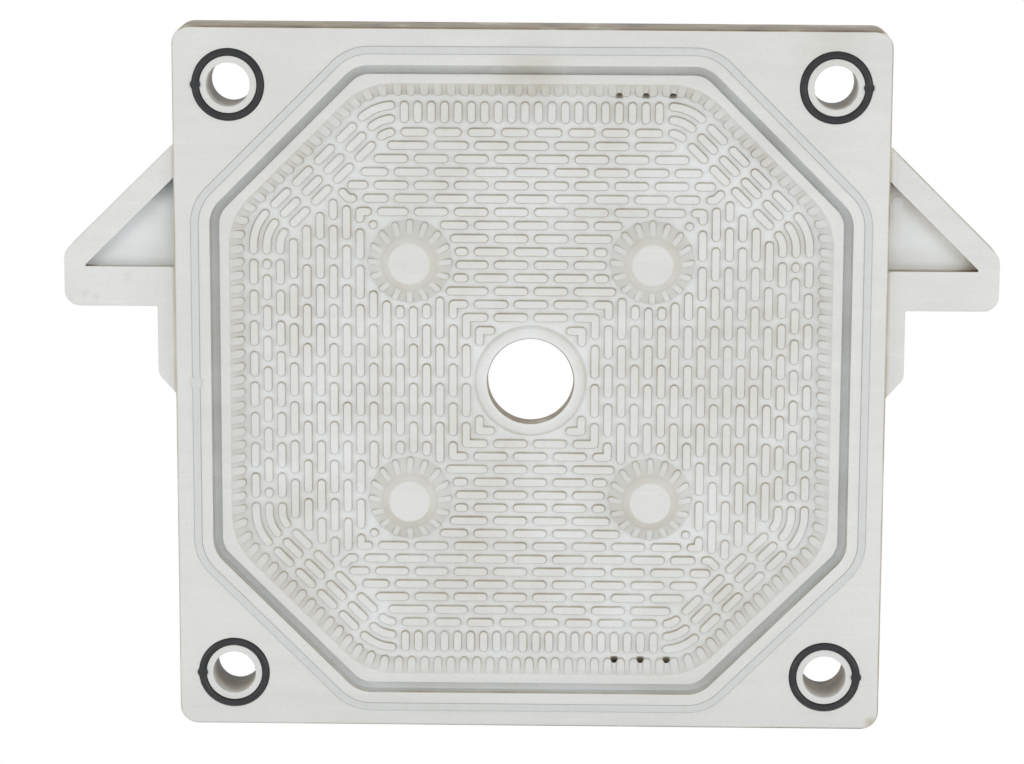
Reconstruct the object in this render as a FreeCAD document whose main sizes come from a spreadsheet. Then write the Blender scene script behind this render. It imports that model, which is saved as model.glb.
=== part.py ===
import FreeCAD, Part
import Sketcher
import math
import os

# Chamber plate of a filter press: one polypropylene moulding with side handles, four corner ports,
# a centre feed eye, a cake recess on both faces and a field of drainage pips on the recess floor.
# Rubber pieces lie in its front face: a welded sealing strip and one O-ring round each port.
#
# Frame: X to the right, Z up, the front face looks towards -Y. The origin is in the middle of the
# feed eye, half way through the plate, which hangs upright from the seats under its two handles.
# Flat layouts are drawn seen from the front: first number to the right, second number up, and
# heights are counted from the mid plane of the plate towards the face.

doc = FreeCAD.newDocument("filter_press_plate")
sheet = doc.addObject("Spreadsheet::Sheet", "Sizes")

# Driving dimensions in millimetres: name, value, what it is.
SIZES = (
    ("plate_size", 800, "side of the square plate, without handles"),
    ("plate_thickness", 70, "between the two sealing faces"),
    ("plate_corner_radius", 20, "outer corners seen from the front"),
    ("rim_bevel", 2, "bevel on the outer edges of the faces"),
    ("strip_inset", 23.3, "plate edge to the centre line of the sealing strip"),
    ("strip_corner_cut", 174, "leg of the corner cut of the strip's octagon"),
    ("strip_corner_radius", 54, "bend of the strip at the octagon's corners"),
    ("strip_width", 8.4, "rubber strip"),
    ("strip_depth", 5, "groove of the strip"),
    ("strip_proud", 1.6, "strip above the sealing face"),
    ("strip_clearance", 0.15, "strip to each wall of its groove"),
    ("splice_width", 12, "swelling at the welded joint of the strip, across"),
    ("splice_length", 13, "swelling at the welded joint of the strip, along"),
    ("caulk_inset", 45.2, "plate edge to the centre line of the cloth groove"),
    ("caulk_width", 10, "cloth groove"),
    ("caulk_depth", 17.5, "cloth groove below the sealing face"),
    ("land_drop", 7, "cloth land below the sealing face"),
    ("land_width", 10.5, "cloth groove to the edge of the recess"),
    ("recess_corner_radius", 80, "octagon corners at the edge of the recess"),
    ("slope_run", 15, "plan width of the sloping wall of the recess"),
    ("cake_depth", 15, "cloth land down to the tops of the pips"),
    ("pip_rise", 4, "pips above the recess floor"),
    ("pip_pitch", 15, "from row to row"),
    ("pip_width", 10, "width of a pip"),
    ("pip_length", 38, "length of a pip in a regular row"),
    ("pip_row_inset", 11.55, "foot of the slope to the outermost row"),
    ("pip_shortest", 11, "no shorter piece of a pip is left in a row"),
    ("pip_gap", 7, "between two pips of a regular row"),
    ("curve_steps", 1, "straight stretches of a curved pip beyond its first one"),
    ("comb_clear", 5, "comb to the start of the bend in the slope, at least"),
    ("third_row_length", 31, "pips of the row under the comb"),
    ("third_row_pitch", 37.5, "pips of the row under the comb, centre to centre"),
    ("side_row_length", 29.4, "pips of the three outer rows on the left and right"),
    ("side_row_pitch", 35.2, "pips of the three outer rows, centre to centre"),
    ("corner_row_pitch", 35, "pips of the rows along the corner cuts, centre to centre"),
    ("corner_pip_gap", 5.2, "curved pips to their neighbours at both ends"),
    ("corner_row_gap", 7.5, "straight rows to the rows along the corner cuts"),
    ("angle_arm", 11.5, "arm of an angle pip, from its end to the diagonal, at least"),
    ("elbow_back", 11.75, "elbow pip, from its end in the row back to the diagonal"),
    ("elbow_gap", 6.5, "elbow pip to the last pip of its row"),
    ("elbow_out", 4.25, "elbow pip, beyond the diagonal of its row"),
    ("elbow_rise", 6.5, "elbow pip, out of its row"),
    ("boss_offset", 136.5, "stay boss from both centre lines"),
    ("boss_base_radius", 47.5, "stay boss at the recess floor"),
    ("boss_neck_radius", 28, "stay boss at the height of the cloth land"),
    ("boss_top_radius", 22.5, "flat top of a stay boss"),
    ("boss_top_drop", 3, "top of a stay boss below the sealing face"),
    ("boss_facets", 12, "flat flanks round a stay boss"),
    ("boss_gap", 5.8, "clear space between a stay boss and the pips"),
    ("dot_slack", 0.2, "a round dot on the diagonal may stand this much nearer"),
    ("feed_bore", 97, "feed eye, diameter"),
    ("feed_ring_radius", 64, "raised ring round the feed eye, at its foot"),
    ("feed_ring_bevel", 4, "bevel round the raised ring"),
    ("feed_rim_bevel", 3, "bevel of the feed bore"),
    ("feed_gap", 5, "clear space between the raised ring and the pips"),
    ("port_inset", 62.5, "port axis to the two nearest plate edges"),
    ("port_bore", 50, "corner port, diameter"),
    ("ring_outer", 80.4, "O-ring, outside diameter"),
    ("ring_cord", 8, "O-ring, cord thickness"),
    ("ring_proud", 2.6, "O-ring above the sealing face"),
    ("ring_clearance", 0.4, "O-ring to each wall of its groove"),
    ("ring_facets", 16, "flat stretches round an O-ring"),
    ("cord_facets", 6, "flat stretches round an O-ring's cord"),
    ("ring_nub", 11.5, "moulding nub on an O-ring"),
    ("ring_nub_height", 2, "moulding nub above the sealing face"),
    ("nub_facets", 10, "flat stretches round a moulding nub"),
    ("handle_thickness", 54, "handle, centred in the plate's thickness"),
    ("handle_reach", 125, "handle nose beyond the side of the plate"),
    ("handle_top", 270, "height at which the sloping edge leaves the plate"),
    ("handle_nose_top", 147, "height of the nose's upper corner"),
    ("handle_seat", 87, "height of the seat that rides on the side rail"),
    ("handle_nose_round_top", 20, "round of the nose's upper corner"),
    ("handle_nose_round_low", 17, "round of the nose's lower corner"),
    ("handle_web_width", 19, "web below the seat, beyond the side of the plate"),
    ("handle_web_foot", 8, "height at which the web turns in"),
    ("handle_web_end", 16, "end of the web below the centre line"),
    ("handle_web_round", 14, "round of the web's lower corner"),
    ("handle_rim", 27, "rim along the sloping edge"),
    ("handle_floor_rim", 44, "rim above the seat"),
    ("pocket_depth", 15, "pocket in each face of a handle"),
)

for row, (alias, value, note) in enumerate(SIZES, start=1):
    sheet.set(f"A{row}", alias)
    sheet.set(f"B{row}", str(value))
    sheet.setAlias(f"B{row}", alias)
    sheet.set(f"C{row}", note)
doc.recompute()


def size(alias):
    """A driving dimension as a plain number, read from the sheet."""
    return float(sheet.get(alias))


def number(formula):
    """The value of a formula of sheet names, such as Sizes.plate_size / 2."""
    return float(sheet.evalExpression(formula))


# Formulas that several sketches share.
HALF_SIZE = "Sizes.plate_size / 2"
FACE = "Sizes.plate_thickness / 2"
LAND = f"({FACE} - Sizes.land_drop)"
PIP_TOP = f"({LAND} - Sizes.cake_depth)"
FLOOR = f"({PIP_TOP} - Sizes.pip_rise)"
ROOT_TWO = math.sqrt(2)
# How far inside the material a fused feature starts, so that no two faces only just touch.
BURIED = 2
# Places nearer to each other than this are the same place.
NEAR = 0.01


class Octagon:
    """Formulas of one line of the rim: an octagon with round corners, set in from the strip."""

    def __init__(self, inset, radius):
        drop = f"({inset} - Sizes.strip_inset)"
        self.side = f"({HALF_SIZE} - {inset})"
        strip_sum = "(Sizes.plate_size - 2 * Sizes.strip_inset - Sizes.strip_corner_cut)"
        self.diagonal = f"({strip_sum} / {ROOT_TWO} - {drop})"
        self.radius = radius


def beside_strip(offset):
    """The octagon that runs parallel to the strip, offset inwards by a formula."""
    return Octagon(f"(Sizes.strip_inset + {offset})", f"(Sizes.strip_corner_radius - ({offset}))")


CAULK_OFFSET = "(Sizes.caulk_inset - Sizes.strip_inset)"
CAULK_OUTER = beside_strip(f"{CAULK_OFFSET} - Sizes.caulk_width / 2")
CAULK_INNER = beside_strip(f"{CAULK_OFFSET} + Sizes.caulk_width / 2")
LAND_INSET = "(Sizes.caulk_inset + Sizes.caulk_width / 2 + Sizes.land_width)"
RECESS_EDGE = Octagon(LAND_INSET, "Sizes.recess_corner_radius")
RECESS_FOOT = Octagon(
    f"({LAND_INSET} + Sizes.slope_run)", "(Sizes.recess_corner_radius - Sizes.slope_run)"
)


def origin_plane(body, role):
    """The origin plane of a body, found by its role."""
    for feature in body.Origin.OriginFeatures:
        if feature.Role == role:
            return feature
    raise ValueError(f"{body.Name} has no {role}")


def front_sketch(body, name, height="0"):
    """A sketch parallel to the faces, at a height from the mid plane towards the front."""
    sketch = body.newObject("Sketcher::SketchObject", name)
    sketch.AttachmentSupport = [(origin_plane(body, "XZ_Plane"), "")]
    sketch.MapMode = "FlatFace"
    sketch.setExpression(".AttachmentOffset.Base.z", height)
    return sketch


def bind(sketch, constraint, name, formula):
    """Adds a dimension and ties it to a formula of sheet names."""
    index = sketch.addConstraint(constraint)
    sketch.renameConstraint(index, name)
    sketch.setExpression(f"Constraints.{name}", formula)


def draw_octagon(sketch, label, octagon):
    """Eight sides at their distances from the centre, joined by tangent arcs of one radius."""
    radius = number(octagon.radius)
    formulas = [octagon.side, octagon.diagonal] * 4
    distances = [number(formula) for formula in formulas]
    headings = [math.radians(45 * side) for side in range(8)]

    def crossing(side, inset):
        """Where a side and the next one meet, both moved inwards by inset."""
        a, b = headings[side], headings[(side + 1) % 8]
        p, q = distances[side] - inset, distances[(side + 1) % 8] - inset
        turn = math.sin(math.radians(45))
        x = (p * math.sin(b) - q * math.sin(a)) / turn
        y = (q * math.cos(a) - p * math.cos(b)) / turn
        return FreeCAD.Vector(x, y, 0)

    tangent = radius * math.tan(math.radians(22.5))
    up = FreeCAD.Vector(0, 0, 1)
    first = sketch.GeometryCount
    for side in range(8):
        along = FreeCAD.Vector(-math.sin(headings[side]), math.cos(headings[side]), 0)
        start = crossing(side - 1, 0) + along * tangent
        end = crossing(side, 0) - along * tangent
        sketch.addGeometry(Part.LineSegment(start, end), False)
        circle = Part.Circle(crossing(side, radius), up, radius)
        arc = Part.ArcOfCircle(circle, headings[side], headings[side] + math.radians(45))
        sketch.addGeometry(arc, False)
    lines = [first + 2 * side for side in range(8)]
    arcs = [line + 1 for line in lines]
    for side in range(8):
        sketch.addConstraint(Sketcher.Constraint("Tangent", lines[side], 2, arcs[side], 1))
        following = lines[(side + 1) % 8]
        sketch.addConstraint(Sketcher.Constraint("Tangent", arcs[side], 2, following, 1))
    for side in (0, 4):
        sketch.addConstraint(Sketcher.Constraint("Vertical", lines[side]))
    for side in (2, 6):
        sketch.addConstraint(Sketcher.Constraint("Horizontal", lines[side]))
    for side in (1, 3, 5, 7):
        heading = math.radians(45 * side + 90)
        sketch.addConstraint(Sketcher.Constraint("Angle", lines[side], heading))
    for side in range(8):
        distance = Sketcher.Constraint("Distance", -1, 1, lines[side], distances[side])
        bind(sketch, distance, f"{label}_side_{side}", formulas[side])
    for side in range(1, 8):
        sketch.addConstraint(Sketcher.Constraint("Equal", arcs[0], arcs[side]))
    bind(sketch, Sketcher.Constraint("Radius", arcs[0], radius), f"{label}_radius", octagon.radius)


def draw_polygon(sketch, label, corners):
    """A closed outline whose corners are pairs of formulas, each tied to the sketch's centre."""
    points = [FreeCAD.Vector(number(x), number(y), 0) for x, y in corners]
    first = sketch.GeometryCount
    for index, point in enumerate(points):
        sketch.addGeometry(Part.LineSegment(point, points[(index + 1) % len(points)]), False)
    for index in range(len(points)):
        following = first + (index + 1) % len(points)
        joint = Sketcher.Constraint("Coincident", first + index, 2, following, 1)
        sketch.addConstraint(joint)
    for index, (x, y) in enumerate(corners):
        line = first + index
        for kind, formula, value in (("DistanceX", x, points[index].x), ("DistanceY", y, points[index].y)):
            name = f"{label}_{index}_{kind[-1].lower()}"
            if value < 0:
                distance = Sketcher.Constraint(kind, line, 1, -1, 1, -value)
                bind(sketch, distance, name, f"-({formula})")
            else:
                distance = Sketcher.Constraint(kind, -1, 1, line, 1, value)
                bind(sketch, distance, name, formula)


def pad_both_ways(body, sketch, name, thickness):
    """Material to both sides of the mid plane."""
    pad = body.newObject("PartDesign::Pad", name)
    pad.Profile = sketch
    pad.Midplane = True
    pad.setExpression("Length", thickness)
    sketch.Visibility = False
    return pad


def pocket_from(body, sketch, name, depth):
    """A straight cut from the sketch's height towards the mid plane."""
    pocket = body.newObject("PartDesign::Pocket", name)
    pocket.Profile = sketch
    pocket.setExpression("Length", depth)
    sketch.Visibility = False
    return pocket


def edges_along_thickness(feature, places):
    """Names of the straight edges that run through the plate at the given places."""
    names = []
    for index, edge in enumerate(feature.Shape.Edges, start=1):
        first, last = edge.Vertexes[0].Point, edge.Vertexes[-1].Point
        flat = math.hypot(first.x - last.x, first.z - last.z)
        near = any(math.hypot(first.x - x, first.z - z) < NEAR for x, z in places)
        if flat < NEAR and near:
            names.append(f"Edge{index}")
    return names


def fillet(body, base, name, edge_names, radius):
    """A round of one radius on the named edges."""
    feature = body.newObject("PartDesign::Fillet", name)
    feature.Base = (base, edge_names)
    feature.setExpression("Radius", radius)
    return feature


def mirror_over(body, name, originals, role):
    """A copy of features on the other side of an origin plane."""
    mirrored = body.newObject("PartDesign::Mirrored", name)
    mirrored.Originals = originals
    mirrored.MirrorPlane = (origin_plane(body, role), [""])
    body.Tip = mirrored
    return mirrored


def make_blank():
    """The moulding without its raised details and bores: slab, handles, grooves and recesses."""
    body = doc.addObject("PartDesign::Body", "moulding_blank")
    outline = front_sketch(body, "outline")
    sides = [
        (HALF_SIZE, HALF_SIZE),
        (f"-({HALF_SIZE})", HALF_SIZE),
        (f"-({HALF_SIZE})", f"-({HALF_SIZE})"),
        (HALF_SIZE, f"-({HALF_SIZE})"),
    ]
    draw_polygon(outline, "outline", sides)
    slab = pad_both_ways(body, outline, "slab", "Sizes.plate_thickness")
    doc.recompute()
    corners = [(number(x), number(z)) for x, z in sides]
    names = edges_along_thickness(slab, corners)
    corners_round = fillet(body, slab, "corners", names, "Sizes.plate_corner_radius")
    doc.recompute()
    face_height = number(FACE)
    rim = [
        f"Edge{index}"
        for index, edge in enumerate(corners_round.Shape.Edges, start=1)
        if all(abs(abs(vertex.Y) - face_height) < NEAR for vertex in edge.Vertexes)
        and abs(edge.Vertexes[0].Y - edge.Vertexes[-1].Y) < NEAR
    ]
    bevel = body.newObject("PartDesign::Chamfer", "rim")
    bevel.Base = (corners_round, rim)
    bevel.setExpression("Size", "Sizes.rim_bevel")
    doc.recompute()

    handle, handle_pocket = make_handle(body)
    feature = mirror_over(body, "left_handle", [handle, handle_pocket], "YZ_Plane")
    doc.recompute()
    nose = number(f"{HALF_SIZE} + Sizes.handle_reach")
    web = number(f"{HALF_SIZE} + Sizes.handle_web_width")
    for name, x, z in (
        ("handle_nose_round_top", nose, size("handle_nose_top")),
        ("handle_nose_round_low", nose, size("handle_seat")),
        ("handle_web_round", web, size("handle_web_foot")),
    ):
        names = edges_along_thickness(feature, [(x, z), (-x, z)])
        feature = fillet(body, feature, name, names, f"Sizes.{name}")
        doc.recompute()

    land = front_sketch(body, "land_outline", FACE)
    draw_octagon(land, "land", CAULK_OUTER)
    land_cut = pocket_from(body, land, "land", "Sizes.land_drop")
    caulk = front_sketch(body, "cloth_groove_outline", LAND)
    draw_octagon(caulk, "outer", CAULK_OUTER)
    draw_octagon(caulk, "inner", CAULK_INNER)
    caulk_cut = pocket_from(body, caulk, "cloth_groove", "Sizes.caulk_depth - Sizes.land_drop")
    edge = front_sketch(body, "recess_edge", LAND)
    draw_octagon(edge, "edge", RECESS_EDGE)
    foot = front_sketch(body, "recess_foot", FLOOR)
    draw_octagon(foot, "foot", RECESS_FOOT)
    recess = body.newObject("PartDesign::SubtractiveLoft", "recess")
    recess.Profile = edge
    recess.Sections = [foot]
    recess.Ruled = True
    edge.Visibility = False
    foot.Visibility = False
    doc.recompute()
    mirror_over(body, "back_recess", [land_cut, caulk_cut, recess], "XZ_Plane")
    doc.recompute()

    strip = front_sketch(body, "strip_groove_outline", FACE)
    wall = "(Sizes.strip_width / 2 + Sizes.strip_clearance)"
    draw_octagon(strip, "outer", beside_strip(f"-{wall}"))
    draw_octagon(strip, "inner", beside_strip(wall))
    pocket_from(body, strip, "strip_groove", "Sizes.strip_depth")
    doc.recompute()
    return body


def make_handle(body):
    """The right handle and its two triangular pockets, both faces alike."""
    nose = f"({HALF_SIZE} + Sizes.handle_reach)"
    web = f"({HALF_SIZE} + Sizes.handle_web_width)"
    root = f"({HALF_SIZE} - {BURIED})"
    # Rise of the sloping edge for each millimetre towards the plate.
    slope = "((Sizes.handle_top - Sizes.handle_nose_top) / Sizes.handle_reach)"
    turn = f"((Sizes.handle_web_foot + Sizes.handle_web_end) / Sizes.handle_web_width)"
    outline = [
        (root, f"(Sizes.handle_top + {BURIED} * {slope})"),
        (root, f"-(Sizes.handle_web_end + {BURIED} * {turn})"),
        (web, "Sizes.handle_web_foot"),
        (web, "Sizes.handle_seat"),
        (nose, "Sizes.handle_seat"),
        (nose, "Sizes.handle_nose_top"),
    ]
    sketch = front_sketch(body, "handle_outline")
    draw_polygon(sketch, "handle", outline)
    pad = pad_both_ways(body, sketch, "handle", "Sizes.handle_thickness")
    doc.recompute()

    # The pocket leaves a rim of one width along the sloping edge.
    rim_rise = f"(Sizes.handle_rim * sqrt(1 + {slope} * {slope}))"
    pocket_floor = "(Sizes.handle_seat + Sizes.handle_floor_rim)"
    pocket_top = f"(Sizes.handle_top - {rim_rise})"
    far_end = f"({HALF_SIZE} + ({pocket_top} - {pocket_floor}) / {slope})"
    recess = front_sketch(body, "handle_pocket_outline", "Sizes.handle_thickness / 2")
    triangle = [(HALF_SIZE, pocket_top), (HALF_SIZE, pocket_floor), (far_end, pocket_floor)]
    draw_polygon(recess, "pocket", triangle)
    front_pocket = pocket_from(body, recess, "handle_pocket", "Sizes.pocket_depth")
    doc.recompute()
    return pad, front_pocket


def revolve_on_axis(body, name, profile):
    """Material turned about the axis of the feed eye; profile is radius and height formulas."""
    sketch = body.newObject("Sketcher::SketchObject", f"{name}_profile")
    sketch.AttachmentSupport = [(origin_plane(body, "YZ_Plane"), "")]
    sketch.MapMode = "FlatFace"
    # In this sketch the first number runs through the plate to the back, the second one up.
    draw_polygon(sketch, name, [(f"-({height})", radius) for radius, height in profile])
    turned = body.newObject("PartDesign::Revolution", name)
    turned.Profile = sketch
    turned.ReferenceAxis = (sketch, ["H_Axis"])
    turned.Angle = 360
    sketch.Visibility = False
    return turned


def cut_through(body, sketch, name):
    """A cut through the whole plate, to both sides of the mid plane."""
    pocket = body.newObject("PartDesign::Pocket", name)
    pocket.Profile = sketch
    pocket.Type = "ThroughAll"
    pocket.Midplane = True
    sketch.Visibility = False
    return pocket


def draw_circle(sketch, name, x, y, diameter):
    """A circle whose centre and diameter are formulas."""
    centre = FreeCAD.Vector(number(x), number(y), 0)
    circle = Part.Circle(centre, FreeCAD.Vector(0, 0, 1), number(diameter) / 2)
    index = sketch.addGeometry(circle, False)
    bind(sketch, Sketcher.Constraint("Diameter", index, number(diameter)), f"{name}_bore", diameter)
    for kind, formula, value in (("DistanceX", x, centre.x), ("DistanceY", y, centre.y)):
        label = f"{name}_{kind[-1].lower()}"
        if abs(value) < NEAR:
            continue
        if value < 0:
            distance = Sketcher.Constraint(kind, index, 3, -1, 1, -value)
            bind(sketch, distance, label, f"-({formula})")
        else:
            distance = Sketcher.Constraint(kind, -1, 1, index, 3, value)
            bind(sketch, distance, label, formula)
    return index


PORT = f"({HALF_SIZE} - Sizes.port_inset)"
CORNERS = (("upper_left", -1, 1), ("upper_right", 1, 1), ("lower_left", -1, -1), ("lower_right", 1, -1))
BOSS_TOP = f"({FACE} - Sizes.boss_top_drop)"


def add_ring_and_bores(body):
    """The raised ring on both faces, the feed eye, the ports and the grooves of their rings."""
    ring = revolve_on_axis(
        body,
        "feed_ring",
        [
            (f"(Sizes.feed_bore / 2 - {BURIED})", f"({FLOOR} - {BURIED})"),
            ("Sizes.feed_ring_radius", f"({FLOOR} - {BURIED})"),
            ("Sizes.feed_ring_radius", FLOOR),
            ("(Sizes.feed_ring_radius - Sizes.feed_ring_bevel)", PIP_TOP),
            (f"(Sizes.feed_bore / 2 - {BURIED})", PIP_TOP),
        ],
    )
    doc.recompute()
    mirror_over(body, "back_feed_ring", [ring], "XZ_Plane")
    doc.recompute()

    bores = front_sketch(body, "bores")
    draw_circle(bores, "feed", "0", "0", "Sizes.feed_bore")
    bores.addConstraint(Sketcher.Constraint("Coincident", 0, 3, -1, 1))
    for name, across, up in CORNERS:
        draw_circle(bores, name, f"({across}) * {PORT}", f"({up}) * {PORT}", "Sizes.port_bore")
    through = cut_through(body, bores, "feed_and_port_bores")
    doc.recompute()
    rim = [
        f"Edge{index}"
        for index, edge in enumerate(through.Shape.Edges, start=1)
        if isinstance(edge.Curve, Part.Circle)
        and abs(edge.Curve.Radius - size("feed_bore") / 2) < NEAR
        and edge.Curve.Center.distanceToPoint(FreeCAD.Vector(0, edge.Curve.Center.y, 0)) < NEAR
    ]
    bevel = body.newObject("PartDesign::Chamfer", "feed_rim")
    bevel.Base = (through, rim)
    bevel.setExpression("Size", "Sizes.feed_rim_bevel")
    doc.recompute()

    grooves = front_sketch(body, "ring_grooves", FACE)
    outer = "(Sizes.ring_outer + 2 * Sizes.ring_clearance)"
    inner = "(Sizes.ring_outer - 2 * Sizes.ring_cord - 2 * Sizes.ring_clearance)"
    for name, across, up in CORNERS:
        for wall, diameter in (("outer", outer), ("inner", inner)):
            x, y = f"({across}) * {PORT}", f"({up}) * {PORT}"
            draw_circle(grooves, f"{name}_{wall}", x, y, diameter)
    pocket_from(body, grooves, "ring_grooves", "Sizes.ring_cord - Sizes.ring_proud")
    doc.recompute()
    return body


def row_list():
    """Distance of every row of pips from the centre line, the outermost one first.

    The number that goes with it counts rows from the middle and tells even rows from odd ones.
    """
    pitch = size("pip_pitch")
    row = number(RECESS_FOOT.side) - size("pip_row_inset")
    rows = []
    while row_start(row) + size("pip_width") < row:
        rows.append((math.ceil(row / pitch), row))
        row -= pitch
    return rows


def straight_pip(row, low, high):
    """Centre line of a pip along a row: the centres of its two round ends."""
    half = size("pip_width") / 2
    if high - low <= 2 * half:
        return [((low + high) / 2, row)]
    return [(low + half, row), (high - half, row)]


def lattice(count_from_middle, end):
    """Places of whole pips along a row, out from the centre line, as their two ends.

    An even row has a pip on the centre line and an odd row has a gap there.
    """
    pitch = size("pip_length") + size("pip_gap")
    centre = 0 if count_from_middle % 2 == 0 else pitch / 2
    places = []
    while centre - size("pip_length") / 2 < end:
        places.append((centre - size("pip_length") / 2, centre + size("pip_length") / 2))
        centre += pitch
    return places


def row_start(row):
    """Where a row starts beside the ring round the feed eye; far left of the centre if it is clear."""
    half = size("pip_width") / 2
    reach = size("feed_ring_radius") + size("feed_gap") + half
    if row >= reach:
        return -size("plate_size")
    return math.sqrt(reach**2 - row**2) - half


def boss_side(row):
    """Where a row ends beside the stay boss; far away if it passes clear of the boss."""
    half = size("pip_width") / 2
    beside = abs(row - size("boss_offset"))
    if beside >= size("boss_base_radius") + half:
        return size("plate_size")
    reach = size("boss_base_radius") + size("boss_gap") + half
    return size("boss_offset") - math.sqrt(reach**2 - beside**2) + half


def open_row(count_from_middle, row, end):
    """Pips of a row that ends clear of something: a remainder is a short pip or a longer last one."""
    shortest = size("pip_shortest")
    start = row_start(row)
    spans = []
    for low, high in lattice(count_from_middle, end):
        low, high = max(low, start), min(high, end)
        if high - low >= shortest:
            spans.append([low, high])
    if spans and end - spans[-1][1] < size("pip_gap") + shortest:
        spans[-1][1] = end
    return spans


def joined_row(count_from_middle, row):
    """Whole pips of a row that runs up to the diagonal, and where its angle pip starts."""
    start = arm = row_start(row)
    spans = []
    for low, high in lattice(count_from_middle, row):
        if high > row:
            return spans, max(low, start)
        if high > start:
            spans.append([max(low, start), high])
        arm = max(high + size("pip_gap"), start)
    return spans, arm


def regular_rows(rows, reach):
    """Pips of the regular rows in the first quarter; reach keeps them off the rows round the corner."""
    half = size("pip_width") / 2
    boss = size("boss_offset")
    boss_reach = size("boss_base_radius") + size("boss_gap") + half
    pips = []
    for count_from_middle, row in rows:
        end = min(row, reach - row + half)
        if boss_side(row) < end:
            level = upright = open_row(count_from_middle, row, boss_side(row))
            if abs(row - boss) * ROOT_TWO > boss_reach - size("dot_slack"):
                pips.append([(row, row)])
        elif end < row:
            level = upright = open_row(count_from_middle, row, end)
        else:
            level, arm = joined_row(count_from_middle, row)
            upright = level
            if row - arm > half:
                arm = min(arm, row - size("angle_arm"))
                if level:
                    level[-1][1] = min(level[-1][1], arm - size("pip_gap"))
                pips.append([(arm + half, row), (row, row), (row, arm + half)])
            else:
                back = row - size("elbow_back")
                bend = (row + size("elbow_out") - size("elbow_rise"), row)
                tip = (row + size("elbow_out"), row + size("elbow_rise"))
                pips.append([(back + half, row), bend, tip])
                if level:
                    level = level[:-1] + [[level[-1][0], back - size("elbow_gap")]]
        pips += [straight_pip(row, low, high) for low, high in level]
        pips += [[(y, x) for x, y in straight_pip(row, low, high)] for low, high in upright]
    return pips


def evenly(pitch, length, first, end):
    """Pips of one length at one pitch from the first centre on, the last one clipped at the end."""
    spans = []
    centre = first
    while centre - length / 2 < end - size("pip_shortest"):
        spans.append((centre - length / 2, min(centre + length / 2, end)))
        centre += pitch
    return spans


def outer_rows(rows, curve_steps):
    """Pips of the three outermost rows in the first quarter, with those round the corner."""
    half = size("pip_width") / 2
    (_, first), (_, second), (_, third) = rows
    side, diagonal = number(RECESS_FOOT.side), number(RECESS_FOOT.diagonal)
    radius = number(RECESS_FOOT.radius)
    tangent = radius * math.tan(math.radians(22.5))
    leg = 2 * side - ROOT_TWO * diagonal
    arc_middle = side - leg - tangent
    diagonal_half = leg / ROOT_TWO - tangent

    pitch = size("pip_pitch")
    columns = math.floor((arc_middle - size("comb_clear") - half) / pitch + 0.5)
    pips = [[(pitch * (k + 0.5), second), (pitch * (k + 0.5), first)] for k in range(columns)]
    comb_reach = pitch * (columns - 0.5)
    level_end = comb_reach + half
    pitch, length = size("third_row_pitch"), size("third_row_length")
    pips += [straight_pip(third, *span) for span in evenly(pitch, length, pitch / 2, level_end)]
    pitch, length = size("side_row_pitch"), size("side_row_length")
    side_end = pitch * (math.floor(comb_reach / pitch) - 0.5) + length / 2
    for row, start in ((first, pitch / 2), (second, 0), (third, pitch / 2)):
        for low, high in evenly(pitch, length, start, side_end):
            pips.append([(y, x) for x, y in straight_pip(row, low, high)])

    pitch = size("corner_row_pitch")
    for row in (first, second, third):
        inset = side - row
        spans = evenly(pitch, length, pitch / 2, diagonal_half)
        for low, high in spans:
            for sign in (1, -1):
                along = [sign * (low + half), sign * (high - half)]
                pips.append(
                    [
                        ((diagonal - inset - w) / ROOT_TWO, (diagonal - inset + w) / ROOT_TWO)
                        for w in along
                    ]
                )
        stop = spans[-1][1] + size("corner_pip_gap") + half
        bend = radius - inset
        last = math.radians(45) - (stop - diagonal_half) / bend
        for end, swap in ((level_end, False), (side_end, True)):
            start = end + size("corner_pip_gap") + half
            line = [(start, row)] if start < arc_middle else []
            begin = math.asin(max(0, start - arc_middle) / bend)
            for step in range(curve_steps + 1):
                turn = begin + (last - begin) * step / curve_steps
                line.append((arc_middle + bend * math.sin(turn), side - radius + bend * math.cos(turn)))
            pips.append([(y, x) for x, y in line] if swap else line)
    return pips


def all_pips(curve_steps):
    """Centre lines of every pip of one face, the quarter mirrored over both centre lines."""
    rows = row_list()
    half = size("pip_width") / 2
    inner_corner_row = number(RECESS_FOOT.diagonal) - (number(RECESS_FOOT.side) - rows[2][1])
    reach = (inner_corner_row - half - size("corner_row_gap") - half) * ROOT_TWO
    quarter = outer_rows(rows[:3], curve_steps) + regular_rows(rows[3:], reach)
    kept = {}
    for pip in quarter:
        for across, up in ((1, 1), (-1, 1), (-1, -1), (1, -1)):
            copy = [(across * x, up * y) for x, y in pip]
            key = tuple(sorted((round(x, 3), round(y, 3)) for x, y in copy))
            kept.setdefault(key, copy)
    return list(kept.values())


def flat_face(corners):
    """A flat face on its corners."""
    return Part.Face(Part.makePolygon(corners + corners[:1]))


def pip_solid(line, base, top):
    """A pip in its place: its centre line widened to the pip's width, with square ends."""
    half = size("pip_width") / 2
    points = [FreeCAD.Vector(x, y, 0) for x, y in line]
    if len(points) == 1:
        ways = [FreeCAD.Vector(1, 0, 0)]
        points = points * 2
    else:
        ways = [(points[i + 1] - points[i]).normalize() for i in range(len(points) - 1)]
    points = [points[0] - ways[0] * half] + points[1:-1] + [points[-1] + ways[-1] * half]
    left, right = [], []
    for index, point in enumerate(points):
        before, after = ways[max(index - 1, 0)], ways[min(index, len(ways) - 1)]
        across = FreeCAD.Vector(-before.y - after.y, before.x + after.x, 0).normalize()
        stretch = half / (across.x * -after.y + across.y * after.x)
        left.append(point + across * stretch)
        right.append(point - across * stretch)
    corners = [FreeCAD.Vector(p.x, p.y, base) for p in left + right[::-1]]
    return flat_face(corners).extrude(FreeCAD.Vector(0, 0, top - base))


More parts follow.
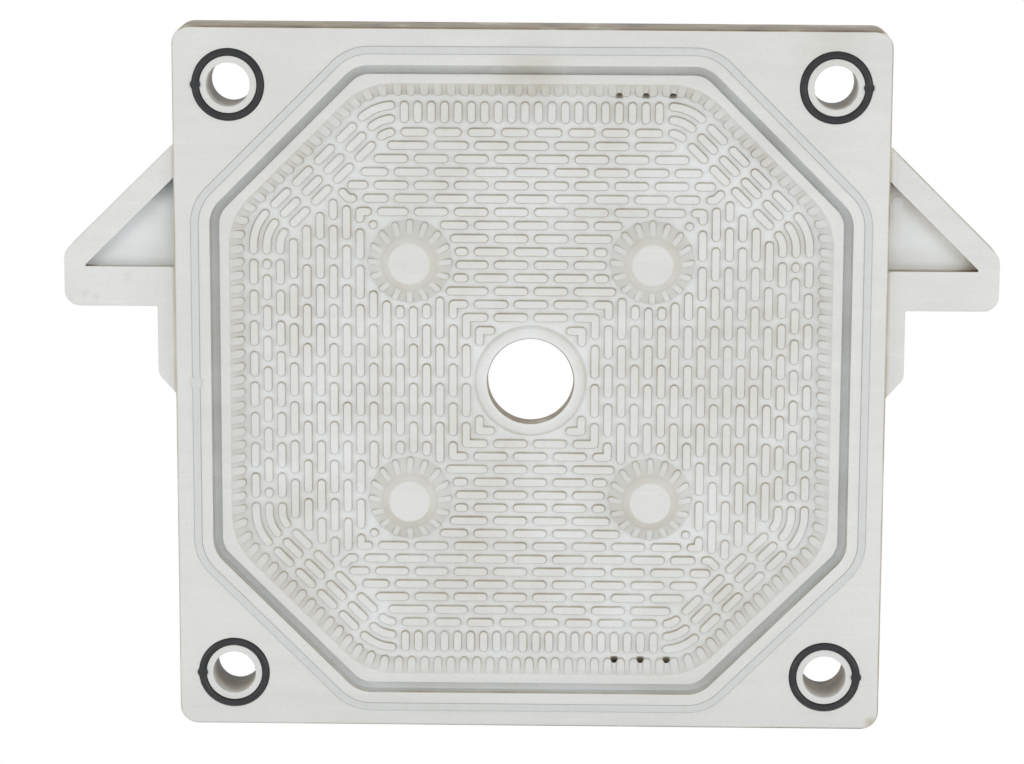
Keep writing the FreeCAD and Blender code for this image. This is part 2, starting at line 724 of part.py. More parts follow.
def relief(name, solids, turn_over):
    """Raised details of one face as one compound, stood upright; turned over for the back face."""
    feature = doc.addObject("Part::Feature", name)
    feature.Shape = Part.makeCompound(solids)
    upright = FreeCAD.Rotation(FreeCAD.Vector(1, 0, 0), 90)
    if turn_over:
        upright = FreeCAD.Rotation(FreeCAD.Vector(0, 0, 1), 180).multiply(upright)
    feature.Placement = FreeCAD.Placement(FreeCAD.Vector(0, 0, 0), upright)
    return feature


def stay_bosses():
    """The four bosses: a cone below and a flatter one above, both with flat flanks."""
    count = int(size("boss_facets"))
    levels = (
        (size("boss_base_radius"), number(FLOOR) - BURIED),
        (size("boss_base_radius"), number(FLOOR)),
        (size("boss_neck_radius"), number(LAND)),
        (size("boss_top_radius"), number(BOSS_TOP)),
    )
    bosses = []
    for across in (1, -1):
        for up in (1, -1):
            rings = []
            for radius, height in levels:
                ring = []
                for step in range(count):
                    turn = 2 * math.pi * (step + 0.5) / count
                    x = across * size("boss_offset") + radius * math.cos(turn)
                    y = up * size("boss_offset") + radius * math.sin(turn)
                    ring.append(FreeCAD.Vector(x, y, height))
                rings.append(ring)
            faces = [flat_face(rings[0][::-1]), flat_face(rings[-1])]
            for lower, upper in zip(rings, rings[1:]):
                for step in range(count):
                    following = (step + 1) % count
                    faces.append(flat_face([lower[step], lower[following], upper[following], upper[step]]))
            bosses.append(Part.makeSolid(Part.makeShell(faces)))
    return bosses


def make_plate():
    """The whole moulding: the bored blank with its raised details fused on."""
    body = add_ring_and_bores(make_blank())
    floor, pip_top = number(FLOOR), number(PIP_TOP)
    pips = [pip_solid(line, floor - BURIED, pip_top) for line in all_pips(int(size("curve_steps")))]
    details = [
        relief("front_pips", pips, False),
        relief("front_bosses", stay_bosses(), False),
        relief("back_bosses", stay_bosses(), True),
    ]
    plate = doc.addObject("Part::Feature", "chamber_plate")
    plate.Shape = body.Shape.fuse([detail.Shape for detail in details]).removeSplitter()
    return plate


def make_strip():
    """The rubber strip in the front face, with the swelling where its ends are welded."""
    body = doc.addObject("PartDesign::Body", "sealing_strip")
    outline = front_sketch(body, "strip_outline", f"({FACE} - Sizes.strip_depth)")
    draw_octagon(outline, "outer", beside_strip("-(Sizes.strip_width / 2)"))
    draw_octagon(outline, "inner", beside_strip("(Sizes.strip_width / 2)"))
    strip = body.newObject("PartDesign::Pad", "strip")
    strip.Profile = outline
    strip.setExpression("Length", "Sizes.strip_depth + Sizes.strip_proud")
    outline.Visibility = False
    doc.recompute()
    swelling = front_sketch(body, "splice_outline", f"({FACE} + Sizes.strip_clearance)")
    across, along = "Sizes.splice_width / 2", "Sizes.splice_length / 2"
    middle = f"({HALF_SIZE} - Sizes.strip_inset)"
    corners = [
        (f"-({middle} - {across})", f"-({along})"),
        (f"-({middle} - {across})", along),
        (f"-({middle} + {across})", along),
        (f"-({middle} + {across})", f"-({along})"),
    ]
    draw_polygon(swelling, "splice", corners)
    splice = body.newObject("PartDesign::Pad", "splice")
    splice.Profile = swelling
    splice.setExpression("Length", "Sizes.strip_proud - Sizes.strip_clearance")
    swelling.Visibility = False
    doc.recompute()
    return body


def make_o_ring(name, across, up):
    """A rubber ring lying in its groove, with the moulding nub on the side away from the middle."""
    facets = int(size("ring_facets"))
    cord, outer = size("ring_cord") / 2, size("ring_outer") / 2
    centre_height = number(FACE) + size("ring_proud") - cord
    # The corners of the section lie on the cord's circle, one of them at the very top.
    around = int(size("cord_facets"))
    section = [math.pi / 2 + 2 * math.pi * step / around for step in range(around)]

    def point(step, angle):
        turn = 2 * math.pi * step / facets
        radius = outer - cord + cord * math.cos(angle)
        height = centre_height + cord * math.sin(angle)
        return FreeCAD.Vector(radius * math.cos(turn), radius * math.sin(turn), height)

    faces = []
    for step in range(facets):
        for angle, following in zip(section, section[1:] + section[:1]):
            corners = [
                point(step, angle),
                point(step + 1, angle),
                point(step + 1, following),
                point(step, following),
            ]
            faces.append(flat_face(corners))
    ring = Part.makeSolid(Part.makeShell(faces))
    base = number(FACE) + size("strip_clearance")
    nub_x = across * (outer - cord)
    rim = []
    for step in range(int(size("nub_facets"))):
        turn = 2 * math.pi * step / size("nub_facets")
        x, y = nub_x + size("ring_nub") / 2 * math.cos(turn), size("ring_nub") / 2 * math.sin(turn)
        rim.append(FreeCAD.Vector(x, y, base))
    nub = flat_face(rim).extrude(FreeCAD.Vector(0, 0, size("ring_nub_height") - size("strip_clearance")))
    feature = doc.addObject("Part::Feature", name)
    feature.Shape = ring.fuse(nub).removeSplitter()
    place = FreeCAD.Vector(across * number(PORT), 0, up * number(PORT))
    feature.Placement = FreeCAD.Placement(place, FreeCAD.Rotation(FreeCAD.Vector(1, 0, 0), 90))
    return feature


parts = {"chamber_plate": make_plate(), "sealing_strip": make_strip()}
for corner, across, up in CORNERS:
    parts[f"o_ring_{corner}"] = make_o_ring(f"o_ring_{corner}", across, up)
doc.recompute()

for item in doc.Objects:
    if "Invalid" in item.State or "Error" in item.State:
        raise RuntimeError(f"{item.Name} did not build")
os.makedirs("parts", exist_ok=True)
for name, item in parts.items():
    item.Label = name
    if item.Shape.isNull() or not item.Shape.isValid() or len(item.Shape.Solids) != 1:
        raise RuntimeError(f"{name} is not one sound solid")
    item.Shape.exportStep(f"parts/{name}.step")
    print(name, round(item.Shape.Volume), len(item.Shape.Faces))
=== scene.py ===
import math

import bmesh
import bpy
import numpy as np
from mathutils import Matrix, Vector


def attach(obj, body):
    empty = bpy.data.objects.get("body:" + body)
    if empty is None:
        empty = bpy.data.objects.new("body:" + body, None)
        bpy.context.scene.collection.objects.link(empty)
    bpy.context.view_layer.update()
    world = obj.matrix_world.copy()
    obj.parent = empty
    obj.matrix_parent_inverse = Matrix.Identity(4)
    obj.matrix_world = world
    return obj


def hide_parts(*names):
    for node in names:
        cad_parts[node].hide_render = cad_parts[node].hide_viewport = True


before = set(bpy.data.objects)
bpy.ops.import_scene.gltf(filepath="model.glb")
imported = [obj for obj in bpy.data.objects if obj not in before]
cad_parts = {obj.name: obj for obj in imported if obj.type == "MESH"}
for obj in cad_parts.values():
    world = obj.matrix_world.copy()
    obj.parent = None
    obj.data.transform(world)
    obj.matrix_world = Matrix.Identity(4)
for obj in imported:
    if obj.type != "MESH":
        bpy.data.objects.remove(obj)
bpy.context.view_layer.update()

# A chamber plate of a filter press, moulded in white polypropylene. Lengths are millimetres. A layout
# is drawn seen from one face: first number to the right, second number up. A height is counted from
# the mid plane of the plate towards that face. The front face looks towards -Y.

MILLIMETRE = 0.001

# The plate, seen from the front.
HALF = 400.0
CORNER = 20.0
FACE = 35.0
RIM_ROUND = 3.0
FACE_MARGIN = 0.5
PORT = 337.5
PORT_RADIUS = 24.4
FEED_RADIUS = 48.5

# The rim's lines are one octagon with round corners, moved inwards from the edge of the plate.
DIAGONAL_LEAD = 33.0
STRIP_INSET, STRIP_WIDTH, STRIP_DEPTH, STRIP_PROUD = 23.3, 8.4, 5.0, 1.6
CAULK_INSET, CAULK_WIDTH, CAULK_DEPTH = 45.2, 10.0, 17.5
LAND = 28.0
EDGE_INSET = 60.7
FOOT_INSET = 75.7
FLOOR = 9.0
BEND_INSETS = (0.0, 50.2, EDGE_INSET, FOOT_INSET)
BEND_RADII = (77.3, 27.1, 80.0, 65.0)

# Clearance of the strip, lean of the cloth groove's walls, rounds of the rim's section, and the flat
# margins between its ends and the faces that continue it.
STRIP_CLEARANCE, CAULK_LEAN = 0.15, 0.3
STRIP_LIP_ROUND, STRIP_FLOOR_ROUND = 0.3, 0.4
CAULK_LIP_ROUND, CAULK_FLOOR_ROUND = 0.9, 1.2
EDGE_ROUND, FOOT_ROUND = 1.2, 1.5
STRIP_MARGIN, CAULK_MARGIN, FOOT_MARGIN = 1.2, 1.6, 4.0

# Raised details of the recess.
PIP_TOP = 13.0
PIP_HALF = 5.0
PIP_LENGTH = 39.0
PIP_GAP = 6.0
PITCH = 15.0
ROW_INSET = 11.55
BAR_HALF = 5.0
BOSS_PLACE = 136.5
BOSS_BASE, BOSS_NECK, BOSS_TOP = 47.5, 29.5, 23.0
BOSS_HEIGHT = 32.0
BOSS_BARS = 16
BOSS_BAR_END = 32.7
FEED_RING = 64.0

# O-rings: radius of the cord's middle line and of the cord, and how far they stand out.
RING_RADIUS = 36.2
CORD = 4.0
RING_PROUD = 2.6
RING_CLEARANCE = 0.3
NUB_RADIUS, NUB_TOP, NUB_ROUND = 5.9, 2.2, 1.2

# Handles.
HANDLE_FACE = 27.0
HANDLE_REACH = 525.0
HANDLE_TOP, NOSE_TOP, SEAT, WEB_EDGE = 270.0, 147.0, 85.8, 420.5

# How finely arcs, bends of the octagon and circles are drawn.
ARC_STEPS = 6
BEND_POINTS = 15
PORT_POINTS = 72
FEED_POINTS = 120
RING_POINTS = 96
CORD_POINTS = 19
SMALL_POINTS = 48
DRILL_POINTS = 40
ROOT_TWO = math.sqrt(2)


def rounded(corners, closed=False, support=0.4):
    """A polyline whose corners (x, y, radius) are tangent arcs, with a support point on either side.

    The arc's centre lies on the bisector of the corner at radius / sin(half angle) from it.
    """
    corners = list(corners)
    points = []
    count = len(corners)
    for index, (x, y, radius) in enumerate(corners):
        here = np.array([x, y], float)
        if radius == 0 or (not closed and index in (0, count - 1)):
            points.append(here)
            continue
        before = np.array(corners[index - 1][:2], float) - here
        after = np.array(corners[(index + 1) % count][:2], float) - here
        before /= np.linalg.norm(before)
        after /= np.linalg.norm(after)
        half = math.acos(np.clip(before @ after, -1, 1)) / 2
        reach = radius / math.tan(half)
        bisector = (before + after) / np.linalg.norm(before + after)
        centre = here + bisector * radius / math.sin(half)
        start, end = here + before * reach - centre, here + after * reach - centre
        first = math.atan2(start[1], start[0])
        sweep = math.atan2(start[0] * end[1] - start[1] * end[0], start @ end)
        turn = first + sweep * np.linspace(0, 1, ARC_STEPS + 1)
        arc = centre + radius * np.stack([np.cos(turn), np.sin(turn)], 1)
        if support:
            points.append(here + before * (reach + support))
        points.extend(arc)
        if support:
            points.append(here + after * (reach + support))
    return np.array(points)


def octagon(insets):
    """Octagon rings with round corners at distances inside the plate's edge, as (rings, points, 2).

    Side k lies at its distance along heading 45 k degrees. The centre of the bend between two sides
    is where both sides, moved inwards by the bend's radius, meet.
    """
    insets = np.asarray(insets, float)[:, None]
    side = HALF - insets
    diagonal = side + DIAGONAL_LEAD
    radius = np.interp(insets, BEND_INSETS, BEND_RADII)
    heading = np.radians(45 * np.arange(9))
    distance = np.concatenate([side, diagonal] * 4 + [side], axis=1) - radius
    a, b = heading[:-1], heading[1:]
    p, q = distance[:, :-1], distance[:, 1:]
    across = math.sin(math.radians(45))
    x = (p * np.sin(b) - q * np.sin(a)) / across
    y = (q * np.cos(a) - p * np.cos(b)) / across
    turn = a[:, None] + np.radians(45) * np.linspace(0, 1, BEND_POINTS)
    ring_x = x[..., None] + radius[..., None] * np.cos(turn)
    ring_y = y[..., None] + radius[..., None] * np.sin(turn)
    return np.stack([ring_x, ring_y], -1).reshape(len(insets), -1, 2)


def circle(radius, count, x=0.0, y=0.0):
    """Points at radius (cos t, sin t) round a centre, t in equal steps."""
    turn = np.linspace(0, 2 * math.pi, count, endpoint=False)
    return np.stack([x + radius * np.cos(turn), y + radius * np.sin(turn)], 1)


class Shell:
    """Points with heights, faces over them and a value of painted shade and film at each point,
    gathered piece by piece.
    """

    def __init__(self):
        """Starts without points."""
        self.points = []
        self.shade_and_film = []
        self.faces = []
        self.count = 0

    def add(self, points, faces, shade_and_film=0.0):
        """Takes in points and groups of faces, whose corners count from the first of these points."""
        points = np.asarray(points, float).reshape(-1, 3)
        self.points.append(points)
        self.shade_and_film.append(np.broadcast_to(np.asarray(shade_and_film, float).reshape(-1), (len(points),)))
        for group in faces:
            group = np.asarray(group)
            if group.size:
                self.faces.extend((group + self.count).tolist())
        self.count += len(points)

    def loft(self, rings, shade_and_film=0.0, caps=None):
        """Rings of equal length joined by quads and closed round.

        Rings may carry leading axes, one block of rings for each copy of a repeated shape. Caps are
        flat, or paired: point k is joined to the k-th point from the end, for rings alike both ways.
        """
        rings = np.asarray(rings, float)
        blocks = rings.reshape((-1,) + rings.shape[-3:])
        copies, levels, around = blocks.shape[:3]
        index = np.arange(copies * levels * around).reshape(copies, levels, around)
        ahead = np.roll(index, -1, axis=2)
        quads = np.stack([index[:, :-1], ahead[:, :-1], ahead[:, 1:], index[:, 1:]], -1)
        faces = [quads.reshape(-1, 4)]
        if caps == "flat":
            faces += [index[:, -1], index[:, 0, ::-1]]
        if caps == "paired":
            half = around // 2
            for cap, flip in ((index[:, -1], 1), (index[:, 0], -1)):
                one, two = cap[:, :half], cap[:, ::-1][:, :half]
                pairs = np.stack([one[:, :-1], one[:, 1:], two[:, 1:], two[:, :-1]], -1)
                faces.append(pairs[..., ::flip].reshape(-1, 4))
                if around % 2:
                    tip = np.stack([one[:, -1], cap[:, half], two[:, -1]], -1)
                    faces.append(tip[..., ::flip])
        shade_and_film = np.asarray(shade_and_film, float)
        shade_and_film = shade_and_film[:, None] if shade_and_film.ndim == 1 else shade_and_film
        self.add(blocks, faces, np.broadcast_to(shade_and_film, blocks.shape[:3]))

    def fill(self, loops, height):
        """A flat region bounded by one outer loop, with the other loops as holes in it."""
        mesh = bmesh.new()
        for loop in loops:
            corners = [mesh.verts.new((x, y, height)) for x, y in loop]
            for one, two in zip(corners, corners[1:] + corners[:1]):
                mesh.edges.new((one, two))
        bmesh.ops.triangle_fill(mesh, use_beauty=True, use_dissolve=False, edges=mesh.edges[:])
        mesh.verts.index_update()
        points = np.array([vert.co for vert in mesh.verts])
        faces = np.array([[vert.index for vert in face.verts] for face in mesh.faces])
        mesh.free()
        self.add(points, [faces])

    def placed(self, back=False):
        """Points in metres in the frame; the back face is the front turned by half a turn about Z."""
        points = np.concatenate(self.points)
        sign = -1.0 if back else 1.0
        x, up, height = points[:, 0], points[:, 1], points[:, 2]
        return np.stack([sign * x, -sign * height, up], 1) * MILLIMETRE


# Edges that turn by more than this many degrees stay sharp.
CREASE = 32.0


def make_mesh(name, shells):
    """One mesh out of shells, each given with whether it lies on the back face."""
    points = np.concatenate([shell.placed(back) for shell, back in shells])
    shade_and_film = np.concatenate([np.concatenate(shell.shade_and_film) for shell, back in shells])
    faces, count = [], 0
    for shell, back in shells:
        faces.extend([[corner + count for corner in face] for face in shell.faces])
        count += shell.count
    mesh = bpy.data.meshes.new(name)
    mesh.from_pydata(points, [], faces)
    # Painted shade and film, one value a point, which darkens the plastic's colour.
    layer = mesh.attributes.new("shade_and_film", "FLOAT", "POINT")
    layer.data.foreach_set("value", shade_and_film.astype(np.float32))
    work = bmesh.new()
    work.from_mesh(mesh)
    bmesh.ops.remove_doubles(work, verts=work.verts, dist=2e-6)
    bmesh.ops.recalc_face_normals(work, faces=work.faces)
    work.to_mesh(mesh)
    work.free()
    mesh.polygons.foreach_set("use_smooth", np.ones(len(mesh.polygons), bool))
    mesh.set_sharp_from_angle(angle=math.radians(CREASE))
    return mesh


def make_piece(name, slot, material, shells, replaces=()):
    """An object of the part, in its material. The slot argument is not used."""
    mesh = make_mesh(name, shells)
    mesh.materials.append(material)
    piece = bpy.data.objects.new(name, mesh)
    bpy.context.scene.collection.objects.link(piece)
    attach(piece, "root")
    if replaces:
        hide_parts(*replaces)
    return piece


def with_heights(plan, heights):
    """Plan rings (rings, points, 2) with one height for each ring."""
    plan = np.asarray(plan, float)
    heights = np.broadcast_to(np.asarray(heights, float)[:, None, None], plan.shape[:2] + (1,))
    return np.concatenate([plan, heights], -1)


def by_side(points, top, left, bottom, right, diagonal, centre=(0.0, 0.0)):
    """A value by the heading from a centre: one for each side and one for all four diagonals.

    With (x, y) the unit heading, a side weighs (x x - y y) squared and a diagonal (2 x y) squared,
    which add up to one.
    """
    way = points - np.array(centre)
    way = way / np.linalg.norm(way, axis=-1, keepdims=True)
    x, y = way[..., 0], way[..., 1]
    level = np.where(x > 0, right, left)
    upright = np.where(y > 0, top, bottom)
    side = np.where(np.abs(x) > np.abs(y), level, upright)
    return side * (x**2 - y**2) ** 2 + diagonal * (2 * x * y) ** 2


# Painted shade by side on the slope and on the tops of its bars, with some film at the top, and painted
# cool shade in the cloth groove: top, left, bottom, right and diagonals. Above zero it darkens from
# grey to brown, below zero it is cool grey.
SLOPE_SHADE_AND_FILM = (0.26, 0.1, 0.1, 0.07, 0.14)
BAR_TOP_SHADE_AND_FILM = (0.16, 0.05, 0.06, 0.03, 0.08)
CAULK_SHADE = (0, -0.12, 0, -0.14, -0.12)
CAULK_LIP_SHADE = 0.45
# The painted shade on the cloth groove's floor ends this high above it, and the painted shade on its
# lips this far below the land.
CAULK_SHADE_RISE, LIP_DROP = 3.0, 2.0


def rim_surface(shell, with_strip):
    """Grooves, land and slope: a rounded section in (inset, height) carried round the octagon."""
    strip_wall = STRIP_WIDTH / 2 + STRIP_CLEARANCE
    strip_floor = FACE - STRIP_DEPTH
    caulk_wall = CAULK_WIDTH / 2
    caulk_floor = FACE - CAULK_DEPTH
    start = CAULK_INSET - caulk_wall - CAULK_MARGIN
    end = FOOT_INSET + FOOT_MARGIN
    section = [(start, FACE, 0)]
    if with_strip:
        start = STRIP_INSET - strip_wall - STRIP_MARGIN
        section = [
            (start, FACE, 0),
            (STRIP_INSET - strip_wall, FACE, STRIP_LIP_ROUND),
            (STRIP_INSET - strip_wall, strip_floor, STRIP_FLOOR_ROUND),
            (STRIP_INSET + strip_wall, strip_floor, STRIP_FLOOR_ROUND),
            (STRIP_INSET + strip_wall, FACE, STRIP_LIP_ROUND),
        ]
    section += [
        (CAULK_INSET - caulk_wall, FACE, CAULK_LIP_ROUND),
        (CAULK_INSET - caulk_wall + CAULK_LEAN, caulk_floor, CAULK_FLOOR_ROUND),
        (CAULK_INSET + caulk_wall - CAULK_LEAN, caulk_floor, CAULK_FLOOR_ROUND),
        (CAULK_INSET + caulk_wall, LAND, CAULK_LIP_ROUND),
        (EDGE_INSET, LAND, EDGE_ROUND),
        (FOOT_INSET, FLOOR, FOOT_ROUND),
        (end, FLOOR, 0),
    ]
    line = rounded(section)
    inset, height = line[:, 0], line[:, 1]
    plan = octagon(inset)
    in_groove = np.abs(inset - CAULK_INSET) < caulk_wall + 0.05
    on_floor = in_groove * np.clip((caulk_floor + CAULK_SHADE_RISE - height) / 2, 0, 1)
    on_slope = (inset > EDGE_INSET + 0.5) & (height > FLOOR + 0.3)
    on_lip = in_groove & (height < FACE - 0.1) & (height > LAND - LIP_DROP)
    on_lip &= (height < LAND - 0.1) | (inset < CAULK_INSET)
    # Painted cool shade on the groove's floor by side, painted shade on its lips, and painted shade by
    # side on the slope.
    shade_and_film = on_floor[:, None] * by_side(plan, *CAULK_SHADE) + CAULK_LIP_SHADE * on_lip[:, None]
    shade_and_film += on_slope[:, None] * by_side(plan, *SLOPE_SHADE_AND_FILM)
    shell.loft(with_heights(plan, height), shade_and_film=shade_and_film)
    return start, end


# The sawn edges are a little out of square: how far each corner lies up from its place, from the
# lower right one counter-clockwise.
EDGE_LIFT = (0.9, 1.0, 2.8, 1.6)


def square_ring(insets):
    """Rings of the plate's outline at distances inside it, with round corners.

    Each ring is the square of half side HALF - inset with corner radius CORNER - inset.
    """
    rings = []
    for inset in insets:
        half, radius = HALF - inset, CORNER - inset
        corners = [(half, -half), (half, half), (-half, half), (-half, -half)]
        moved = [(x, y + lift, radius) for (x, y), lift in zip(corners, EDGE_LIFT)]
        rings.append(rounded(moved, closed=True, support=0))
    return np.array(rings)


# Painted shade on the plate's top, bottom, left and right edge, each as axis, side of it and strength.
EDGE_SHADE = ((1, 1, 0.95), (1, -1, 1.2), (0, -1, 0.36), (0, 1, 0.5))
# Painted shade in the ports, in the feed eye and at the foot of its ring. In a port it starts below the
# front face and grows over a length.
BORE_SHADE, EYE_SHADE, RING_FOOT_SHADE = 1.7, 0.8, 0.12
BORE_SHADE_START, BORE_GROWTH = 1.0, 7.0

# Circles up to which the port's and the feed ring's own section reaches, and its bevel and rounds.
PORT_BORDER, FEED_BORDER = 41.8, 67.0
PORT_ROUND, RING_GROOVE_ROUND = 1.2, 0.5
FEED_BEVEL, FEED_TOP_ROUND, EYE_ROUND = 3.5, 2.0, 2.5

SIGNS = ((1, 1), (-1, 1), (-1, -1), (1, -1))
CORNER_NAMES = (
    ("upper_left", -1, 1),
    ("upper_right", 1, 1),
    ("lower_left", -1, -1),
    ("lower_right", 1, -1),
)


def plate_body():
    """The moulding without its raised details: both faces, edges, ports and the feed eye.

    The edge is a section in (inset, height) carried round the square. A port and the feed eye are
    sections in (radius, height) turned about their axes.
    """
    front, back, through = Shell(), Shell(), Shell()
    for shell, with_strip in ((front, True), (back, False)):
        start, end = rim_surface(shell, with_strip)
        holes = [circle(PORT_BORDER, PORT_POINTS, x * PORT, y * PORT) for x, y in SIGNS]
        outline = square_ring([RIM_ROUND + FACE_MARGIN])[0]
        shell.fill([outline, octagon([start])[0]] + holes, FACE)
        shell.fill([octagon([end])[0], circle(FEED_BORDER, FEED_POINTS)], FLOOR)

    # The outer edge runs over the rim's round, down the side and round again.
    edge = rounded(
        [
            (RIM_ROUND + FACE_MARGIN, FACE, 0),
            (0, FACE, RIM_ROUND),
            (0, -FACE, RIM_ROUND),
            (RIM_ROUND + FACE_MARGIN, -FACE, 0),
        ],
        support=0,
    )
    sides = square_ring(edge[:, 0])
    # Painted shade on the rounds of the plate's edges, darkest at the bottom.
    shade_and_film = 0
    for axis, sign, shade_and_film_share in EDGE_SHADE:
        outside = sign * sides[..., axis] - HALF
        shade_and_film = np.maximum(shade_and_film, shade_and_film_share * np.clip((outside + RIM_ROUND) / 2, 0, 1))
    shade_and_film *= np.abs(edge[:, 1:]) < FACE - 0.4
    through.loft(with_heights(sides, edge[:, 1]), shade_and_film=shade_and_film)

    # The ring groove lies in the front face only.
    groove_floor = FACE - 2 * CORD + RING_PROUD
    outer, inner = RING_RADIUS + CORD + RING_CLEARANCE, RING_RADIUS - CORD - RING_CLEARANCE
    port = rounded(
        [
            (PORT_BORDER, FACE, 0),
            (outer, FACE, RING_GROOVE_ROUND),
            (outer, groove_floor, RING_GROOVE_ROUND),
            (inner, groove_floor, RING_GROOVE_ROUND),
            (inner, FACE, RING_GROOVE_ROUND),
            (PORT_RADIUS, FACE, PORT_ROUND),
            (PORT_RADIUS, -FACE, PORT_ROUND),
            (PORT_BORDER, -FACE, 0),
        ]
    )
    # Painted shade deep in each port.
    in_bore = np.clip((FACE - BORE_SHADE_START - port[:, 1]) / BORE_GROWTH, 0, BORE_SHADE)
    in_bore *= port[:, 0] < PORT_RADIUS + 0.5
    for x, y in SIGNS:
        rings = np.array([circle(radius, PORT_POINTS, x * PORT, y * PORT) for radius in port[:, 0]])
        through.loft(with_heights(rings, port[:, 1]), shade_and_film=in_bore)

    face = [
        (FEED_BORDER, FLOOR, 0),
        (FEED_RING, FLOOR, FOOT_ROUND),
        (FEED_RING - FEED_BEVEL, PIP_TOP, FEED_TOP_ROUND),
        (FEED_RADIUS, PIP_TOP, EYE_ROUND),
    ]
    other_face = [(radius, -height, rounding) for radius, height, rounding in reversed(face)]
    feed = rounded(face + other_face)
    rings = np.array([circle(radius, FEED_POINTS) for radius in feed[:, 0]])
    # Painted shade in the feed eye and at the foot of its ring.
    in_eye = EYE_SHADE * (feed[:, 0] < FEED_RADIUS + 1) * (np.abs(feed[:, 1]) < PIP_TOP - 0.5)
    on_foot = RING_FOOT_SHADE * (feed[:, 0] > FEED_RING - 5) * (np.abs(feed[:, 1]) > FLOOR + 0.2)
    through.loft(with_heights(rings, feed[:, 1]), shade_and_film=in_eye + on_foot)
    return [(front, False), (back, True), (through, False)]


# A direction that no drill follows, from which the points round a drill are counted.
ASLANT = (0.31, 0.17, 0.93)


def cylinder(shell, start, end, radius):
    """A closed cylinder between two points (x, up, height).

    Its rings are the ends of the axis plus radius (cos t side + sin t other), with side and other at
    right angles to the axis and to each other.
    """
    start, end = np.array(start, float), np.array(end, float)
    way = (end - start) / np.linalg.norm(end - start)
    side = np.cross(way, ASLANT)
    side /= np.linalg.norm(side)
    other = np.cross(way, side)
    turn = np.linspace(0, 2 * math.pi, DRILL_POINTS, endpoint=False)[:, None]
    around = radius * (np.cos(turn) * side + np.sin(turn) * other)
    shell.loft(np.stack([start + around, end + around]), caps="flat")


# Radii of the drain holes and of the passages that join them to the ports. A hole starts on the floor
# this far before the slope, with its axis a little above the floor.
DRAIN_RADIUS, HEADER_RADIUS = 4.5, 8.0
DRAIN_LEAD, DRAIN_RAISED = 2.5, 0.6
DRAIN_PLACES = (97.5, 127.5, 157.5)


def drain_cuts():
    """Drill shapes: holes along the floor of both faces into the slope, and passages to the ports."""
    shell = Shell()
    mouth = HALF - FOOT_INSET - DRAIN_LEAD
    for up in (1, -1):
        for x in DRAIN_PLACES:
            for height in (FLOOR + DRAIN_RAISED, -FLOOR - DRAIN_RAISED):
                cylinder(shell, (x, up * mouth, height), (x, up * PORT, height), DRAIN_RADIUS)
        start = (DRAIN_PLACES[0] - 2 * DRAIN_RADIUS, up * PORT, 0)
        cylinder(shell, start, (PORT, up * PORT, 0), HEADER_RADIUS)
    return shell


def cut(piece, shell):
    """Takes the shell's volume out of a piece."""
    tool = make_mesh("drill", [(shell, False)])
    drill = bpy.data.objects.new("drill", tool)
    bpy.context.scene.collection.objects.link(drill)
    modifier = piece.modifiers.new("drains", "BOOLEAN")
    modifier.operation = "DIFFERENCE"
    modifier.solver = "EXACT"
    modifier.object = drill
    graph = bpy.context.evaluated_depsgraph_get()
    result = bpy.data.meshes.new_from_object(piece.evaluated_get(graph))
    piece.modifiers.remove(modifier)
    old = piece.data
    piece.data = result
    bpy.data.objects.remove(drill)
    bpy.data.meshes.remove(tool)
    bpy.data.meshes.remove(old)
    result.name = piece.name
    result.set_sharp_from_angle(angle=math.radians(CREASE))


# Lines of the pips: the foot of the slope and its bends bound them, seen in the first quarter.
SIDE_FOOT = HALF - FOOT_INSET
DIAGONAL_FOOT = SIDE_FOOT + DIAGONAL_LEAD
BEND = BEND_RADII[-1]
BEND_TANGENT = BEND * math.tan(math.radians(22.5))
CUT_LEG = 2 * SIDE_FOOT - ROOT_TWO * DIAGONAL_FOOT
STRAIGHT = SIDE_FOOT - CUT_LEG - BEND_TANGENT
DIAGONAL_STRAIGHT = CUT_LEG / ROOT_TWO - BEND_TANGENT


def span_line(row, low, high):
    """Centre line of a pip along a row between its two extreme ends."""
    if high - low <= 2 * PIP_HALF + 0.01:
        return [((low + high) / 2, row)]
    return [(low + PIP_HALF, row), (high - PIP_HALF, row)]


def whole_pips(number, end):
    """Regular pips of a row out from the centre line; odd rows have a gap there."""
    pitch = PIP_LENGTH + PIP_GAP
    centres = np.arange(0 if number % 2 == 0 else pitch / 2, end + PIP_LENGTH / 2, pitch)
    return [(centre - PIP_LENGTH / 2, centre + PIP_LENGTH / 2) for centre in centres]


# Space between the pips and the feed ring and bosses, what a dot may lack of it, the shortest pip.
RING_GAP, BOSS_GAP, DOT_SLACK, SHORTEST = 4.1, 4.1, 0.2, 11.0


def row_start(row):
    """Where a row starts beside the ring round the feed eye."""
    reach = FEED_RING + RING_GAP + PIP_HALF
    return math.sqrt(reach**2 - row**2) - PIP_HALF if row < reach else -HALF


def boss_side(row):
    """Where a row ends beside a stay boss."""
    beside = abs(row - BOSS_PLACE)
    if beside >= BOSS_BASE + PIP_HALF:
        return 2 * HALF
    reach = BOSS_BASE + BOSS_GAP + PIP_HALF
    return BOSS_PLACE - math.sqrt(reach**2 - beside**2) + PIP_HALF


def open_row(number, row, end):
    """Pips of a row that ends clear of something; a remainder lengthens the last one."""
    spans = []
    for low, high in whole_pips(number, end):
        low, high = max(low, row_start(row)), min(high, end)
        if high - low >= SHORTEST:
            spans.append([low, high])
    if end - spans[-1][1] < PIP_GAP + SHORTEST:
        spans[-1][1] = end
    return spans


def joined_row(number, row):
    """Whole pips of a row up to the diagonal, and where its angle pip starts."""
    spans, arm = [], row_start(row)
    for low, high in whole_pips(number, row):
        if high > row:
            return spans, max(low, row_start(row))
        if high > row_start(row):
            spans.append([max(low, row_start(row)), high])
        arm = high + PIP_GAP
    return spans, arm


